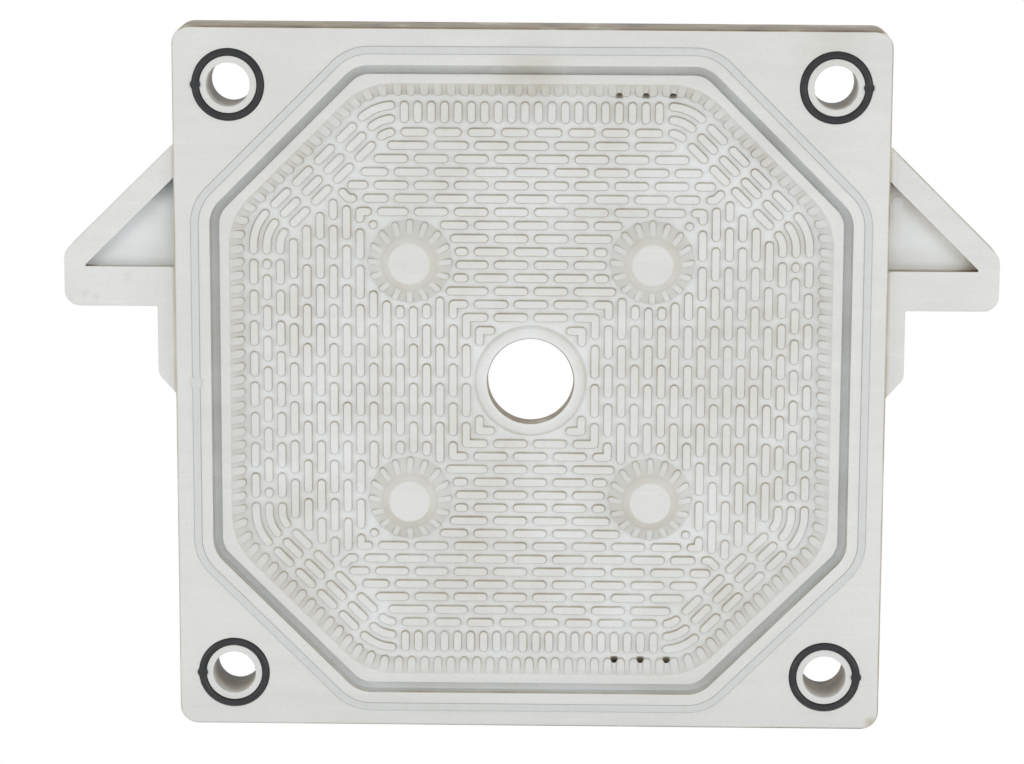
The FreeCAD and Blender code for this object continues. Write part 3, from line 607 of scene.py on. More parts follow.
# Arm of an angle pip. An elbow pip starts back from the diagonal, ends out beyond it and rises out
# of its row, with a gap to the next pip.
ANGLE_ARM = 13.4
ELBOW_BACK, ELBOW_GAP, ELBOW_OUT, ELBOW_RISE = 11.75, 6.5, 4.25, 6.5


def regular_rows(rows, reach):
    """Pips of the regular rows in the first quarter."""
    lines = []
    for number, row in rows:
        end = min(row, reach - row + PIP_HALF)
        if boss_side(row) < end:
            level = upright = open_row(number, row, boss_side(row))
            if abs(row - BOSS_PLACE) * ROOT_TWO > BOSS_BASE + BOSS_GAP + PIP_HALF - DOT_SLACK:
                lines.append([(row, row)])
        elif end < row:
            level = upright = open_row(number, row, end)
        else:
            level, arm = joined_row(number, row)
            upright = level
            if row - arm > PIP_HALF:
                arm = min(arm, row - ANGLE_ARM)
                lines.append([(arm + PIP_HALF, row), (row, row), (row, arm + PIP_HALF)])
                if level:
                    level[-1][1] = min(level[-1][1], arm - PIP_GAP)
            else:
                back = row - ELBOW_BACK
                bend = (row + ELBOW_OUT - ELBOW_RISE, row)
                lines.append([(back + PIP_HALF, row), bend, (row + ELBOW_OUT, row + ELBOW_RISE)])
                level = level[:-1] + [[level[-1][0], back - ELBOW_GAP]]
        lines += [span_line(row, *span) for span in level]
        lines += [[(y, x) for x, y in span_line(row, *span)] for span in upright]
    return lines


def evenly(pitch, length, end, on_centre=False):
    """Pips of one length at one pitch to either side of the centre line, the last one clipped."""
    centres = np.arange(0 if on_centre else pitch / 2, end - SHORTEST + length / 2, pitch)
    return [(centre - length / 2, min(centre + length / 2, end)) for centre in centres]


# The three outermost rows: the last upright pip of the comb at the top and bottom, ends of the straight
# rows, pitches and lengths of their pips, gaps to the curved pips and to the rows further in.
COMB = 142.5
COMB_END, SIDE_END = 147.5, 137.9
THIRD_PITCH, THIRD_LENGTH = 37.5, 31.0
SIDE_PITCH, CORNER_PITCH, OUTER_LENGTH = 35.2, 35.0, 29.4
CORNER_PIP_GAP, CORNER_ROW_GAP = 5.2, 5.6
CURVE_STEPS = 8
# A first stretch so short only gives a curved pip's end its direction.
STUB = 0.02
ROWS = 18


def outer_rows(first, second, third):
    """Pips of the three outermost rows in the first quarter, with those round the corner."""
    lines = [[(x, second), (x, first)] for x in np.arange(PITCH / 2, COMB + 1, PITCH)]
    lines += [span_line(third, *span) for span in evenly(THIRD_PITCH, THIRD_LENGTH, COMB_END)]
    for row, on_centre in ((first, False), (second, True), (third, False)):
        for span in evenly(SIDE_PITCH, OUTER_LENGTH, SIDE_END, on_centre):
            lines.append([(y, x) for x, y in span_line(row, *span)])
    for row in (first, second, third):
        out, bend = DIAGONAL_FOOT - SIDE_FOOT + row, BEND - SIDE_FOOT + row
        spans = evenly(CORNER_PITCH, OUTER_LENGTH, DIAGONAL_STRAIGHT)
        for low, high in spans:
            for sign in (1, -1):
                ends = (sign * (low + PIP_HALF), sign * (high - PIP_HALF))
                lines.append([((out - w) / ROOT_TWO, (out + w) / ROOT_TWO) for w in ends])
        stop = spans[-1][1] + CORNER_PIP_GAP + PIP_HALF
        last = math.radians(45) - (stop - DIAGONAL_STRAIGHT) / bend
        for end, swap in ((COMB_END, False), (SIDE_END, True)):
            start = end + CORNER_PIP_GAP + PIP_HALF
            begin = math.asin(max(0, start - STRAIGHT) / bend)
            turn = np.linspace(begin, last, CURVE_STEPS)
            arc = np.stack([STRAIGHT + bend * np.sin(turn), SIDE_FOOT - BEND + bend * np.cos(turn)], 1)
            tangent = np.array([math.cos(begin), -math.sin(begin)])
            tail = (start, row) if start < STRAIGHT else tuple(arc[0] - STUB * tangent)
            line = [tail] + arc.tolist()
            lines.append([(y, x) for x, y in line] if swap else line)
    return lines


def pip_lines():
    """Centre lines of all pips of one face, as arrays (pips, points, 2) by number of points."""
    outermost = SIDE_FOOT - ROW_INSET
    rows = [outermost - PITCH * k for k in range(ROWS)]
    reach = (DIAGONAL_FOOT - SIDE_FOOT + rows[2] - 2 * PIP_HALF - CORNER_ROW_GAP) * ROOT_TWO
    numbered = [(math.ceil(row / PITCH), row) for row in rows[3:]]
    quarter = outer_rows(*rows[:3]) + regular_rows(numbered, reach)
    kept = {}
    for line in quarter:
        for x_sign, y_sign in SIGNS:
            copy = [(x_sign * x, y_sign * y) for x, y in line]
            kept.setdefault(tuple(sorted((round(x, 2), round(y, 2)) for x, y in copy)), copy)
    groups = {}
    for line in kept.values():
        if len(line) == 1:
            (x, y), = line
            line = [(x - STUB / 2, y), (x + STUB / 2, y)]
        groups.setdefault(len(line), []).append(line)
    return [np.array(group) for group in groups.values()]


def widen(lines, width, end_steps=6):
    """Outlines at a width round centre lines, with half round ends, as (lines, outline, 2).

    Inside a bend the outline's point is at width / cos(half the bend) along the bisector, given three
    times; outside it three points at the width round the bend take its place.
    """
    way = np.diff(lines, axis=1)
    way /= np.linalg.norm(way, axis=2, keepdims=True)
    normal = np.stack([-way[..., 1], way[..., 0]], -1)
    before, after = normal[:, :-1], normal[:, 1:]
    bisector = (before + after) / (1 + (before * after).sum(2, keepdims=True))
    middle = bisector / np.linalg.norm(bisector, axis=2, keepdims=True)
    outside = np.stack([before, middle, after], 2)
    inside = np.repeat(bisector[:, :, None], 3, axis=2)
    turns_left = (before[..., 0] * after[..., 1] > before[..., 1] * after[..., 0])[..., None, None]
    bends = (len(lines), -1, 2)
    corner = lines[:, 1:-1, None]
    left = (corner + width * np.where(turns_left, inside, outside)).reshape(bends)
    right = (corner - width * np.where(turns_left, outside, inside)).reshape(bends)
    turn = np.linspace(math.pi / 2, -math.pi / 2, end_steps + 1)[:, None]
    tip = lines[:, -1:] + width * (np.cos(turn) * way[:, -1:] + np.sin(turn) * normal[:, -1:])
    tail = lines[:, :1] - width * (np.cos(turn) * way[:, :1] + np.sin(turn) * normal[:, :1])
    return np.concatenate([left, tip, right[:, ::-1], tail], 1)


# Section of a pip from below the floor up to its top: half width, height, painted shade with film on
# it all round, and more film where the flank looks up, because it stands there when the plate dries.
PIP_SECTION = (
    (5.4, FLOOR - 0.3, 0.25, 0.05),
    (4.6, PIP_TOP - 1.3, 0.36, 0.1),
    (4.15, PIP_TOP - 0.3, 0.3, 0.08),
    (3.75, PIP_TOP, 0.09, 0.0),
)


def pip_field():
    """Every pip of one face as a low drafted loaf with a rounded rim.

    The pip's outline at each half width of the section lies at that width's height.
    """
    shell = Shell()
    for lines in pip_lines():
        levels, shade_and_film_levels = [], []
        looks_up = np.clip((widen(lines, 1.0) - widen(lines, 0.0))[..., 1], 0, 1)
        # Painted shade with film all round the flanks, and more film where they look up.
        for width, height, shade_and_film_share, more in PIP_SECTION:
            outline = widen(lines, width)
            level = np.full(outline.shape[:2] + (1,), height)
            levels.append(np.concatenate([outline, level], 2))
            shade_and_film_levels.append(shade_and_film_share + more * looks_up)
        shell.loft(np.stack(levels, 1), shade_and_film=np.stack(shade_and_film_levels, 1), caps="flat")
    return shell


# Levels of a bar: inset from its outline, drop below its top (none for its foot) and the painted shade
# with film on its flanks.
BAR_LEVELS = ((-0.35, None, 0.4), (0.3, 0.8, 0.36), (0.6, 0.25, 0.2), (1.1, 0.0, 0.0))
# A bar's foot lies this deep in the slope, ends this far below the land, and its top just below it.
BAR_SINK, BAR_FOOT_END, BAR_TOP_END = 1.2, 2.0, 0.04
BAR_NOSE_POINTS = 9
FLANK_SHADE_AND_FILM = 1.3


def fingers(shell, places, half_low, half_high, length, low_top, rise, base_rise, top_shade_and_film):
    """Bars that climb a slope: round nose at the foot, a top of its own slope, bottom in the slope.

    Along a bar, t counts from the nose: top = low_top + rise t, up to the land, and the foot follows
    floor + base_rise (t - 1). Places are (x, y, heading) of the noses. The painted shade with film on
    the flanks thins towards the land as the flank constant minus t / length.
    """
    places = np.array(places)
    turn = np.linspace(math.pi / 2, -math.pi / 2, BAR_NOSE_POINTS)
    kink = min((LAND - low_top) / rise, length - 1)
    blocks, shade_and_film_levels = [], []
    for inset, drop, shade_and_film_share in BAR_LEVELS:
        radius = half_low - inset
        long = np.array([length, kink, (kink + half_low) / 2])
        wide = half_low + (half_high - half_low) * (long - half_low) / (length - half_low) - inset
        t = np.concatenate([long, half_low - radius * np.cos(turn), long[::-1]])
        v = np.concatenate([wide, radius * np.sin(turn), -wide[::-1]])
        if drop is None:
            height = np.maximum(FLOOR, FLOOR + base_rise * (t - 1)) - BAR_SINK
            height = np.minimum(height, LAND - BAR_FOOT_END)
        else:
            height = np.minimum(low_top + rise * t, LAND - BAR_TOP_END) - drop
        heading = places[:, 2:]
        x = places[:, :1] + t * np.cos(heading) - v * np.sin(heading)
        y = places[:, 1:2] + t * np.sin(heading) + v * np.cos(heading)
        blocks.append(np.stack([x, y, np.broadcast_to(height, x.shape)], -1))
        # Painted shade with film on the flanks, fading towards the land, and the top's own value.
        flank_shade_and_film = shade_and_film_share * np.clip(FLANK_SHADE_AND_FILM - t / length, 0, 1)
        shade_and_film_levels.append(flank_shade_and_film + np.reshape(top_shade_and_film, (-1, 1)) + 0 * x)
    shell.loft(np.stack(blocks, 1), shade_and_film=np.stack(shade_and_film_levels, 1), caps="paired")


# Bars on the sloping wall to either side of the middle of a side and of a diagonal, and in each bend.
SIDE_BARS, DIAGONAL_BARS, BEND_BARS = 10, 5, 3


def slope_bar_places():
    """Noses of the bars on the sloping wall: at the row pitch where it is straight, even in a bend."""
    on_side = PITCH * np.arange(-SIDE_BARS, SIDE_BARS + 1)
    on_diagonal = PITCH * (np.arange(-DIAGONAL_BARS, DIAGONAL_BARS) + 0.5)
    places = []
    for side in range(8):
        heading = math.radians(45 * side)
        out = np.array([math.cos(heading), math.sin(heading)])
        along = np.array([-out[1], out[0]])
        level = side % 2 == 0
        distance, shifts = (SIDE_FOOT, on_side) if level else (DIAGONAL_FOOT, on_diagonal)
        places += [(*(out * (distance - 1) + along * shift), heading) for shift in shifts]
        half, following = (STRAIGHT, DIAGONAL_STRAIGHT) if level else (DIAGONAL_STRAIGHT, STRAIGHT)
        lead = half - shifts[-1]
        tail = following - (on_diagonal[-1] if level else on_side[-1])
        spacing = (lead + BEND * math.radians(45) + tail) / (BEND_BARS + 1)
        centre = out * (distance - BEND) + along * half
        for step in range(1, BEND_BARS + 1):
            turn = heading + (step * spacing - lead) / BEND
            tip = centre + (BEND - 1) * np.array([math.cos(turn), math.sin(turn)])
            places.append((*tip, turn))
    return places


# Length of a bar on the slope, height of its nose below the pips, and rise of its top.
SLOPE_BAR_LENGTH, SLOPE_BAR_DROP, SLOPE_BAR_RISE = 18.2, 1.0, 1.0


def slope_bars():
    """The bars on the sloping wall of one face."""
    shell = Shell()
    places = np.array(slope_bar_places())
    climb = (LAND - FLOOR) / (FOOT_INSET - EDGE_INSET)
    # Painted shade by side on the bars' tops, with some film at the top.
    shade_and_film = by_side(places[:, :2], *BAR_TOP_SHADE_AND_FILM)
    low_top = PIP_TOP - SLOPE_BAR_DROP
    fingers(shell, places, BAR_HALF, BAR_HALF, SLOPE_BAR_LENGTH, low_top, SLOPE_BAR_RISE, climb, shade_and_film)
    return shell


# Painted shade on a boss's cone by side: top, left, bottom, right and diagonals; and film on the tops
# of its bars.
BOSS_SHADE = (0.14, 0.14, 0.2, 0.16, 0.18)
BOSS_BAR_GRIME = 0.06
BOSS_ROUND = 6.0
# Half width of a boss's bar at its nose and at its far end, and height of its nose.
BOSS_BAR_FOOT_HALF, BOSS_BAR_TOP_HALF = 3.9, 3.5
BOSS_BAR_START = PIP_TOP - 0.4
# A boss's section starts this far outside its foot and below the floor, and its bars this far outside.
BOSS_APRON, BOSS_SINK, BOSS_BAR_LEAD = 3.0, 0.1, 0.5


def stay_bosses():
    """The four bosses of one face: cone, flatter cone and flat top, with a ring of bars round each.

    A boss is a section in (radius, height) turned about its axis.
    """
    shell = Shell()
    section = [
        (BOSS_BASE + BOSS_APRON, FLOOR - BOSS_SINK, 0),
        (BOSS_BASE, FLOOR, FOOT_ROUND),
        (BOSS_NECK, LAND, BOSS_ROUND),
        (BOSS_TOP, BOSS_HEIGHT, BOSS_ROUND),
        (BOSS_TOP - BOSS_ROUND, BOSS_HEIGHT, 0),
    ]
    profile = rounded(section)
    headings = 2 * math.pi * np.arange(BOSS_BARS) / BOSS_BARS
    slope = (LAND - FLOOR) / (BOSS_BASE - BOSS_NECK)
    nose = BOSS_BASE + BOSS_BAR_LEAD
    halves = (BOSS_BAR_FOOT_HALF, BOSS_BAR_TOP_HALF)
    rise = (FLOOR + slope * (BOSS_BASE - BOSS_BAR_END) - BOSS_BAR_START) / (nose - BOSS_BAR_END)
    stations = (BOSS_TOP - 1, BOSS_TOP + 1, BOSS_NECK, BOSS_BASE)
    on_cone = np.interp(profile[:, 0], stations, (0, 1, 1, 0.6)) * (profile[:, 1] > FLOOR)
    for x_sign, y_sign in SIGNS:
        x, y = x_sign * BOSS_PLACE, y_sign * BOSS_PLACE
        rings = np.array([circle(radius, RING_POINTS, x, y) for radius in profile[:, 0]])
        # Painted shade on the cone, by side.
        shade = by_side(rings, *BOSS_SHADE, centre=(x, y))
        shell.loft(with_heights(rings, profile[:, 1]), shade_and_film=on_cone[:, None] * shade, caps="flat")
        places = [x + nose * np.cos(headings), y + nose * np.sin(headings), headings + math.pi]
        places = np.stack(places, 1)
        length = nose - BOSS_NECK - 1
        fingers(shell, places, *halves, length, BOSS_BAR_START, rise, slope, BOSS_BAR_GRIME)
    return shell


def inset_corners(corners, distance):
    """A polygon with corner radii, counter-clockwise, moved inwards by a distance.

    A corner moves by the distance times the sum of its two sides' inward normals, divided by one plus
    the normals' dot product. Its radius shrinks where it bulges and grows where it is hollow.
    """
    points = np.array([corner[:2] for corner in corners], float)
    way = np.roll(points, -1, axis=0) - points
    way /= np.linalg.norm(way, axis=1, keepdims=True)
    inward = np.stack([-way[:, 1], way[:, 0]], 1)
    before, before_in = np.roll(way, 1, axis=0), np.roll(inward, 1, axis=0)
    cross = before[:, 0] * way[:, 1] - before[:, 1] * way[:, 0]
    bisector = (before_in + inward) / (1 + (before_in * inward).sum(1, keepdims=True))
    moved = points + distance * bisector
    result = []
    for (x, y), (_, _, radius), turn in zip(moved, corners, cross):
        change = -distance if turn > 0 else distance
        result.append((x, y, max(radius + change, 0.4) if radius else 0))
    return result


# Fall of the sloping edge. The handle starts inside the plate, and its web ends below the centre line.
HANDLE_SLOPE = (HANDLE_TOP - NOSE_TOP) / (HANDLE_REACH - HALF)
ROOT = HALF - 10
WEB_FOOT, WEB_END = 8.0, -15.0
WEB_ROUND, SEAT_CORNER, NOSE_ROUND_LOW, NOSE_ROUND_TOP = 14.0, 2.0, 17.0, 20.0
HANDLE_EDGE_ROUND, HANDLE_FACE_MARGIN = 2.0, 4.0
# Painted shade on the side wall of the sloping edge, which starts this far below the nose's upper
# corner.
HANDLE_SHADE, HANDLE_SHADE_REACH = 0.55, 12.0
# The pocket: its lower side, its upper corner at the plate's side, height of its bottom, lean of its
# walls, rounds, and insets of the rings that carry the shading over its floor.
POCKET_FLOOR, POCKET_TOP = 131.0, 232.1
POCKET_BOTTOM_HEIGHT = 12.0
POCKET_LEAN = 0.8
POCKET_ROOT_ROUND, POCKET_TIP_ROUND, POCKET_LIP_ROUND, POCKET_FLOOR_ROUND = 2.0, 1.2, 0.8, 3.0
POCKET_INSETS = (8.0, 12.0, 17.0, 23.0)
# The flat rims at the upper and lower end of the pocket's walls.
POCKET_LIP_MARGIN, POCKET_FOOT_MARGIN = 1.2, 5.0
# How far the painted shade reaches from the sloping and from the plate side edge of the pocket.
SLOPE_SHADE_REACH, PLATE_SHADE_REACH = 13.0, 22.0
# Painted shade along the sloping, lower and plate side edges of the pocket; above zero it is brown
# grey, below zero cool grey.
POCKET_SHADE = {-1: (-0.16, 0.7, -0.12), 1: (0.2, 0.7, 0.06)}
# The mark of an ejector pin on the floor of the right pocket, seen from the front.
PIN_MARK, PIN_MARK_RADIUS, PIN_MARK_HEIGHT, PIN_MARK_ROUND = (410.0, 207.0), 6.5, 0.5, 0.3
# The cove between the handle's faces and the plate's side: its reach, its rise, the heights of its
# upper end and of its hidden foot, and the painted shade on it.
COVE_REACH, COVE_RISE, COVE_TOP, COVE_FOOT = 8.0, 5.5, 32.3, 26.0
COVE_STEPS = 9
COVE_SHADE, COVE_SHADE_REACH = 0.4, 5.0
# The coves end this far inside the handle's edges and this far from the pocket.
COVE_EDGE_GAP, COVE_POCKET_GAP = 1.5, 1.0


def handle(side):
    """One handle, grown into the plate's side; side is 1 on the right and -1 on the left.

    The outline is moved inwards by each inset of the edge's section and lies at that inset's height,
    and so is the pocket's triangle by the section of its wall. The left handle is the right one
    mirrored.
    """
    shell = Shell()
    web_slope = (WEB_FOOT - WEB_END) / (WEB_EDGE - HALF)
    outline = [
        (ROOT, HANDLE_TOP + HANDLE_SLOPE * (HALF - ROOT), 0),
        (ROOT, WEB_END - web_slope * (HALF - ROOT), 0),
        (WEB_EDGE, WEB_FOOT, WEB_ROUND),
        (WEB_EDGE, SEAT, SEAT_CORNER),
        (HANDLE_REACH, SEAT, NOSE_ROUND_LOW),
        (HANDLE_REACH, NOSE_TOP, NOSE_ROUND_TOP),
    ]
    edge = [(HANDLE_FACE_MARGIN, HANDLE_FACE, 0), (0, HANDLE_FACE, HANDLE_EDGE_ROUND), (0, 0, 0)]
    section = rounded(edge)
    section = np.concatenate([section, section[-2::-1] * (1, -1)])
    rings = [rounded(inset_corners(outline, inset), closed=True) for inset in section[:, 0]]
    outer = np.array(rings)
    # Painted shade on the side wall along the sloping edge.
    above_nose = (outer[..., 1] - NOSE_TOP) / HANDLE_SHADE_REACH
    shade_and_film = HANDLE_SHADE * np.clip(above_nose + 1, 0, 1)
    shade_and_film *= np.abs(section[:, 1:]) < HANDLE_FACE - 1
    shell.loft(with_heights(outer, section[:, 1]), shade_and_film=shade_and_film)

    tip = HALF + (POCKET_TOP - POCKET_FLOOR) / HANDLE_SLOPE
    inner = HALF - 5
    pocket = [
        (inner, POCKET_TOP + HANDLE_SLOPE * (HALF - inner), POCKET_ROOT_ROUND),
        (inner, POCKET_FLOOR, POCKET_ROOT_ROUND),
        (tip, POCKET_FLOOR, POCKET_TIP_ROUND),
    ]
    wall = rounded(
        [
            (-POCKET_LIP_MARGIN, HANDLE_FACE, 0),
            (0, HANDLE_FACE, POCKET_LIP_ROUND),
            (POCKET_LEAN, POCKET_BOTTOM_HEIGHT, POCKET_FLOOR_ROUND),
            (POCKET_FOOT_MARGIN, POCKET_BOTTOM_HEIGHT, 0),
        ]
    )
    floor_steps = [[inset, POCKET_BOTTOM_HEIGHT] for inset in POCKET_INSETS]
    wall = np.concatenate([wall, floor_steps])
    rings = np.array([rounded(inset_corners(pocket, inset), closed=True) for inset in wall[:, 0]])
    across, up = rings[..., 0] - HALF, rings[..., 1]
    from_slope = (POCKET_TOP - up - HANDLE_SLOPE * across) / math.hypot(1, HANDLE_SLOPE)
    slope_shade, bottom_shade, plate_shade = POCKET_SHADE[side]
    # Painted shade from the pocket's sloping, lower and plate side edges over its walls and floor.
    shade_and_film = slope_shade * np.clip(1 - from_slope / SLOPE_SHADE_REACH, 0, 1)
    shade_and_film += bottom_shade * np.clip(1 - (up - POCKET_FLOOR) / POCKET_LEAN, 0, 1)
    shade_and_film += plate_shade * np.clip(1 - across / PLATE_SHADE_REACH, 0, 1)
    shade_and_film *= wall[:, 1:] < HANDLE_FACE - 0.5
    for face in (1, -1):
        heights = wall[:, 1] * face
        shell.loft(with_heights(rings, heights), shade_and_film=shade_and_film)
        shell.fill([rings[-1]], heights[-1])
        border = rounded(inset_corners(outline, HANDLE_FACE_MARGIN), closed=True)
        shell.fill([border, rings[0]], HANDLE_FACE * face)

    if side > 0:
        top = POCKET_BOTTOM_HEIGHT + PIN_MARK_HEIGHT
        corner = (PIN_MARK_RADIUS, top, PIN_MARK_ROUND)
        mark = rounded([(PIN_MARK_RADIUS, top - 1, 0), corner, (2, top, 0)])
        rings = [circle(radius, SMALL_POINTS, *PIN_MARK) for radius in mark[:, 0]]
        shell.loft(with_heights(rings, mark[:, 1]), caps="flat")

    # A cove eases each face of the handle into the plate's side, apart from the pocket.
    turn = np.linspace(0, math.pi / 2, COVE_STEPS)
    end, buried = HALF + COVE_REACH, HALF - 2
    curve = np.stack([end - COVE_REACH * np.cos(turn), COVE_TOP - COVE_RISE * np.sin(turn)], 1)
    profile = np.concatenate([[(buried, COVE_FOOT), (buried, COVE_TOP)], curve, [(end, COVE_FOOT)]])
    beyond = profile[:, 0] - HALF
    # Painted shade in the cove, fading away from the plate's side.
    shade_and_film_share = COVE_SHADE * np.clip(1 - beyond / COVE_SHADE_REACH, 0, 1)[None]
    fall = HANDLE_SLOPE * beyond
    stretches = (
        (POCKET_TOP + COVE_POCKET_GAP - fall, HANDLE_TOP - COVE_EDGE_GAP - fall),
        (WEB_END + COVE_EDGE_GAP + web_slope * beyond, POCKET_FLOOR - COVE_POCKET_GAP + 0 * beyond),
    )
    for low, high in stretches:
        for face in (1, -1):
            ends = [np.stack([profile[:, 0], z, face * profile[:, 1]], 1) for z in (low, high)]
            shell.loft(np.array(ends), shade_and_film_share, caps="flat")
    shell.points = [points * (side, 1, 1) for points in shell.points]
    return shell


def o_ring(x_sign, y_sign):
    """A ring of round cord with its moulding nub on the side away from the middle of the plate.

    The cord's section is the circle (RING_RADIUS + CORD cos t, middle + CORD sin t), turned about the
    port's axis.
    """
    shell = Shell()
    x, y = x_sign * PORT, y_sign * PORT
    middle = FACE + RING_PROUD - CORD
    turn = np.linspace(0, 2 * math.pi, CORD_POINTS)
    radii = RING_RADIUS + CORD * np.cos(turn)
    rings = np.array([circle(radius, RING_POINTS, x, y) for radius in radii])
    shell.loft(with_heights(rings, middle + CORD * np.sin(turn)))
    top = FACE + NUB_TOP
    nub = rounded([(NUB_RADIUS, FACE - 1, 0), (NUB_RADIUS, top - 0.2, NUB_ROUND), (2, top, 0)])
    rings = [circle(radius, SMALL_POINTS, x + x_sign * RING_RADIUS, y) for radius in nub[:, 0]]
    shell.loft(with_heights(rings, nub[:, 1]), caps="flat")
    return shell


# The strip lies just above its groove's floor. The swelling at its welded joint is given by half its
# width and length, how far it stands out of the strip, and its rounds.
STRIP_LIFT, STRIP_HEEL_ROUND, STRIP_TOP_ROUND = 0.1, 0.5, 1.3
JOINT_ACROSS, JOINT_ALONG, JOINT_PROUD, JOINT_CORNER, JOINT_ROUND = 6.0, 6.5, 0.3, 3.0, 1.0


def sealing_strip():
    """The strip's rounded section carried round the octagon, and the swelling at its welded joint."""
    shell = Shell()
    half, top = STRIP_WIDTH / 2, FACE + STRIP_PROUD
    bottom = FACE - STRIP_DEPTH + STRIP_LIFT
    section = rounded(
        [
            (-half, bottom, STRIP_HEEL_ROUND),
            (half, bottom, STRIP_HEEL_ROUND),
            (half, top, STRIP_TOP_ROUND),
            (-half, top, STRIP_TOP_ROUND),
        ],
        closed=True,
    )
    section = np.concatenate([section, section[:1]])
    shell.loft(with_heights(octagon(STRIP_INSET + section[:, 0]), section[:, 1]))
    middle = STRIP_INSET - HALF
    corners = [
        (middle + x_sign * JOINT_ACROSS, y_sign * JOINT_ALONG, JOINT_CORNER)
        for x_sign, y_sign in ((-1, -1), (1, -1), (1, 1), (-1, 1))
    ]
    joint_top = top + JOINT_PROUD
    edge = rounded([(0, FACE - 0.5, 0), (0, joint_top, JOINT_ROUND), (2.0, joint_top, 0)])
    rings = [rounded(inset_corners(corners, inset), closed=True) for inset in edge[:, 0]]
    shell.loft(with_heights(rings, edge[:, 1]), caps="flat")
    return shell


def hex_colour(code):
    """A linear colour out of an sRGB hex code."""
    channels = [int(code[i : i + 2], 16) / 255 for i in (1, 3, 5)]
    linear = [c / 12.92 if c <= 0.04045 else ((c + 0.055) / 1.055) ** 2.4 for c in channels]
    return (*linear, 1.0)


def add_node(tree, kind, inputs=None, output=0, **settings):
    """A node's output; inputs maps a socket to a constant or to the output that feeds it."""
    node = tree.nodes.new(kind)
    for name, value in settings.items():
        setattr(node, name, value)
    for key, value in (inputs or {}).items():
        if isinstance(value, bpy.types.NodeSocket):
            tree.links.new(value, node.inputs[key])
        else:
            node.inputs[key].default_value = value
    return node.outputs[output] if node.outputs else None


def new_material(name):
    """An empty material and its node tree."""
    material = bpy.data.materials.new(name)
    material.use_nodes = True
    material.node_tree.nodes.clear()
    return material, material.node_tree


# Patterns in the plastic's skin: scale per metre, stretch of the coordinates, the noise levels shown
# as none and as full, and detail. The clouds, a hand wide, are the unevenly scrubbed skin. The wiped
# streaks and the scratches run along the machined face. Speckle stands for specks under a millimetre
# and is drawn coarser, about 2 mm, so that the picture holds it. Uneven parts the painted shade and
# film into patches of some 45 mm, and fine is the grain of about 6 mm that the bump uses.
SKIN_PATTERNS = {
    "clouds": (7, (1, 1, 1), 0.35, 0.65, 3.0),
    "wiped": (5, (1, 1, 9), 0.5, 0.72, 3.0),
    "speckle": (420, (1, 1, 1), 0.62, 0.74, 1.0),
    "scratches": (16, (1, 1, 14), 0.62, 0.68, 2.0),
    "uneven": (22, (1, 1, 1), 0.3, 0.7, 3.0),
    "fine": (160, (1, 1, 1), 0.35, 0.65, 2.0),
}

# The skin below this height is a little whiter and cooler than the machined face: painted light that
# makes up for the shade among the pips.
DEEP = 21.0

# Painted shade inside the drain holes, and how far behind the sloping wall's surface it is full.
DRAIN_SHADE, DRAIN_FADE = 1.3, 5.0

# Stains and painted shade: place seen from the front, radius, strength and the height they end at.
# Above zero they are brown grey, below zero cool grey. The first four are painted shade in the corners
# of the handle pockets.
POCKET_RIM = HANDLE_FACE - 0.6
STAINS_AND_CORNER_SHADE = (
    (-402, 230, 40, -0.9, POCKET_RIM),
    (-500, 132, 16, 0.6, POCKET_RIM),
    (402, 230, 16, 1.2, POCKET_RIM),
    (498, 133, 22, 0.5, POCKET_RIM),
    (0, 354, 50, 0.3, HALF),
    (330, 392, 50, 0.12, HALF),
    (-502, 100, 6, -0.11, HALF),
    (-490, 97, 6, -0.09, HALF),
    (-454, 119, 7, -0.11, HALF),
    (392, -391, 12, 0.9, HALF),
)

# Stages of the painted shade and film: the strength at which each starts, how fast it covers and its
# colour. A low value is greyish, a higher one brown and then dark, and below zero lies the cool grey
# of painted shade.
SHADE_AND_FILM_STAGES = (
    (0, 2.0, "#BDB6A8"),
    (0.5, 2.0, "#857863"),
    (1.2, 1.5, "#4C463C"),
    (0, -1.0, "#8F9695"),
)


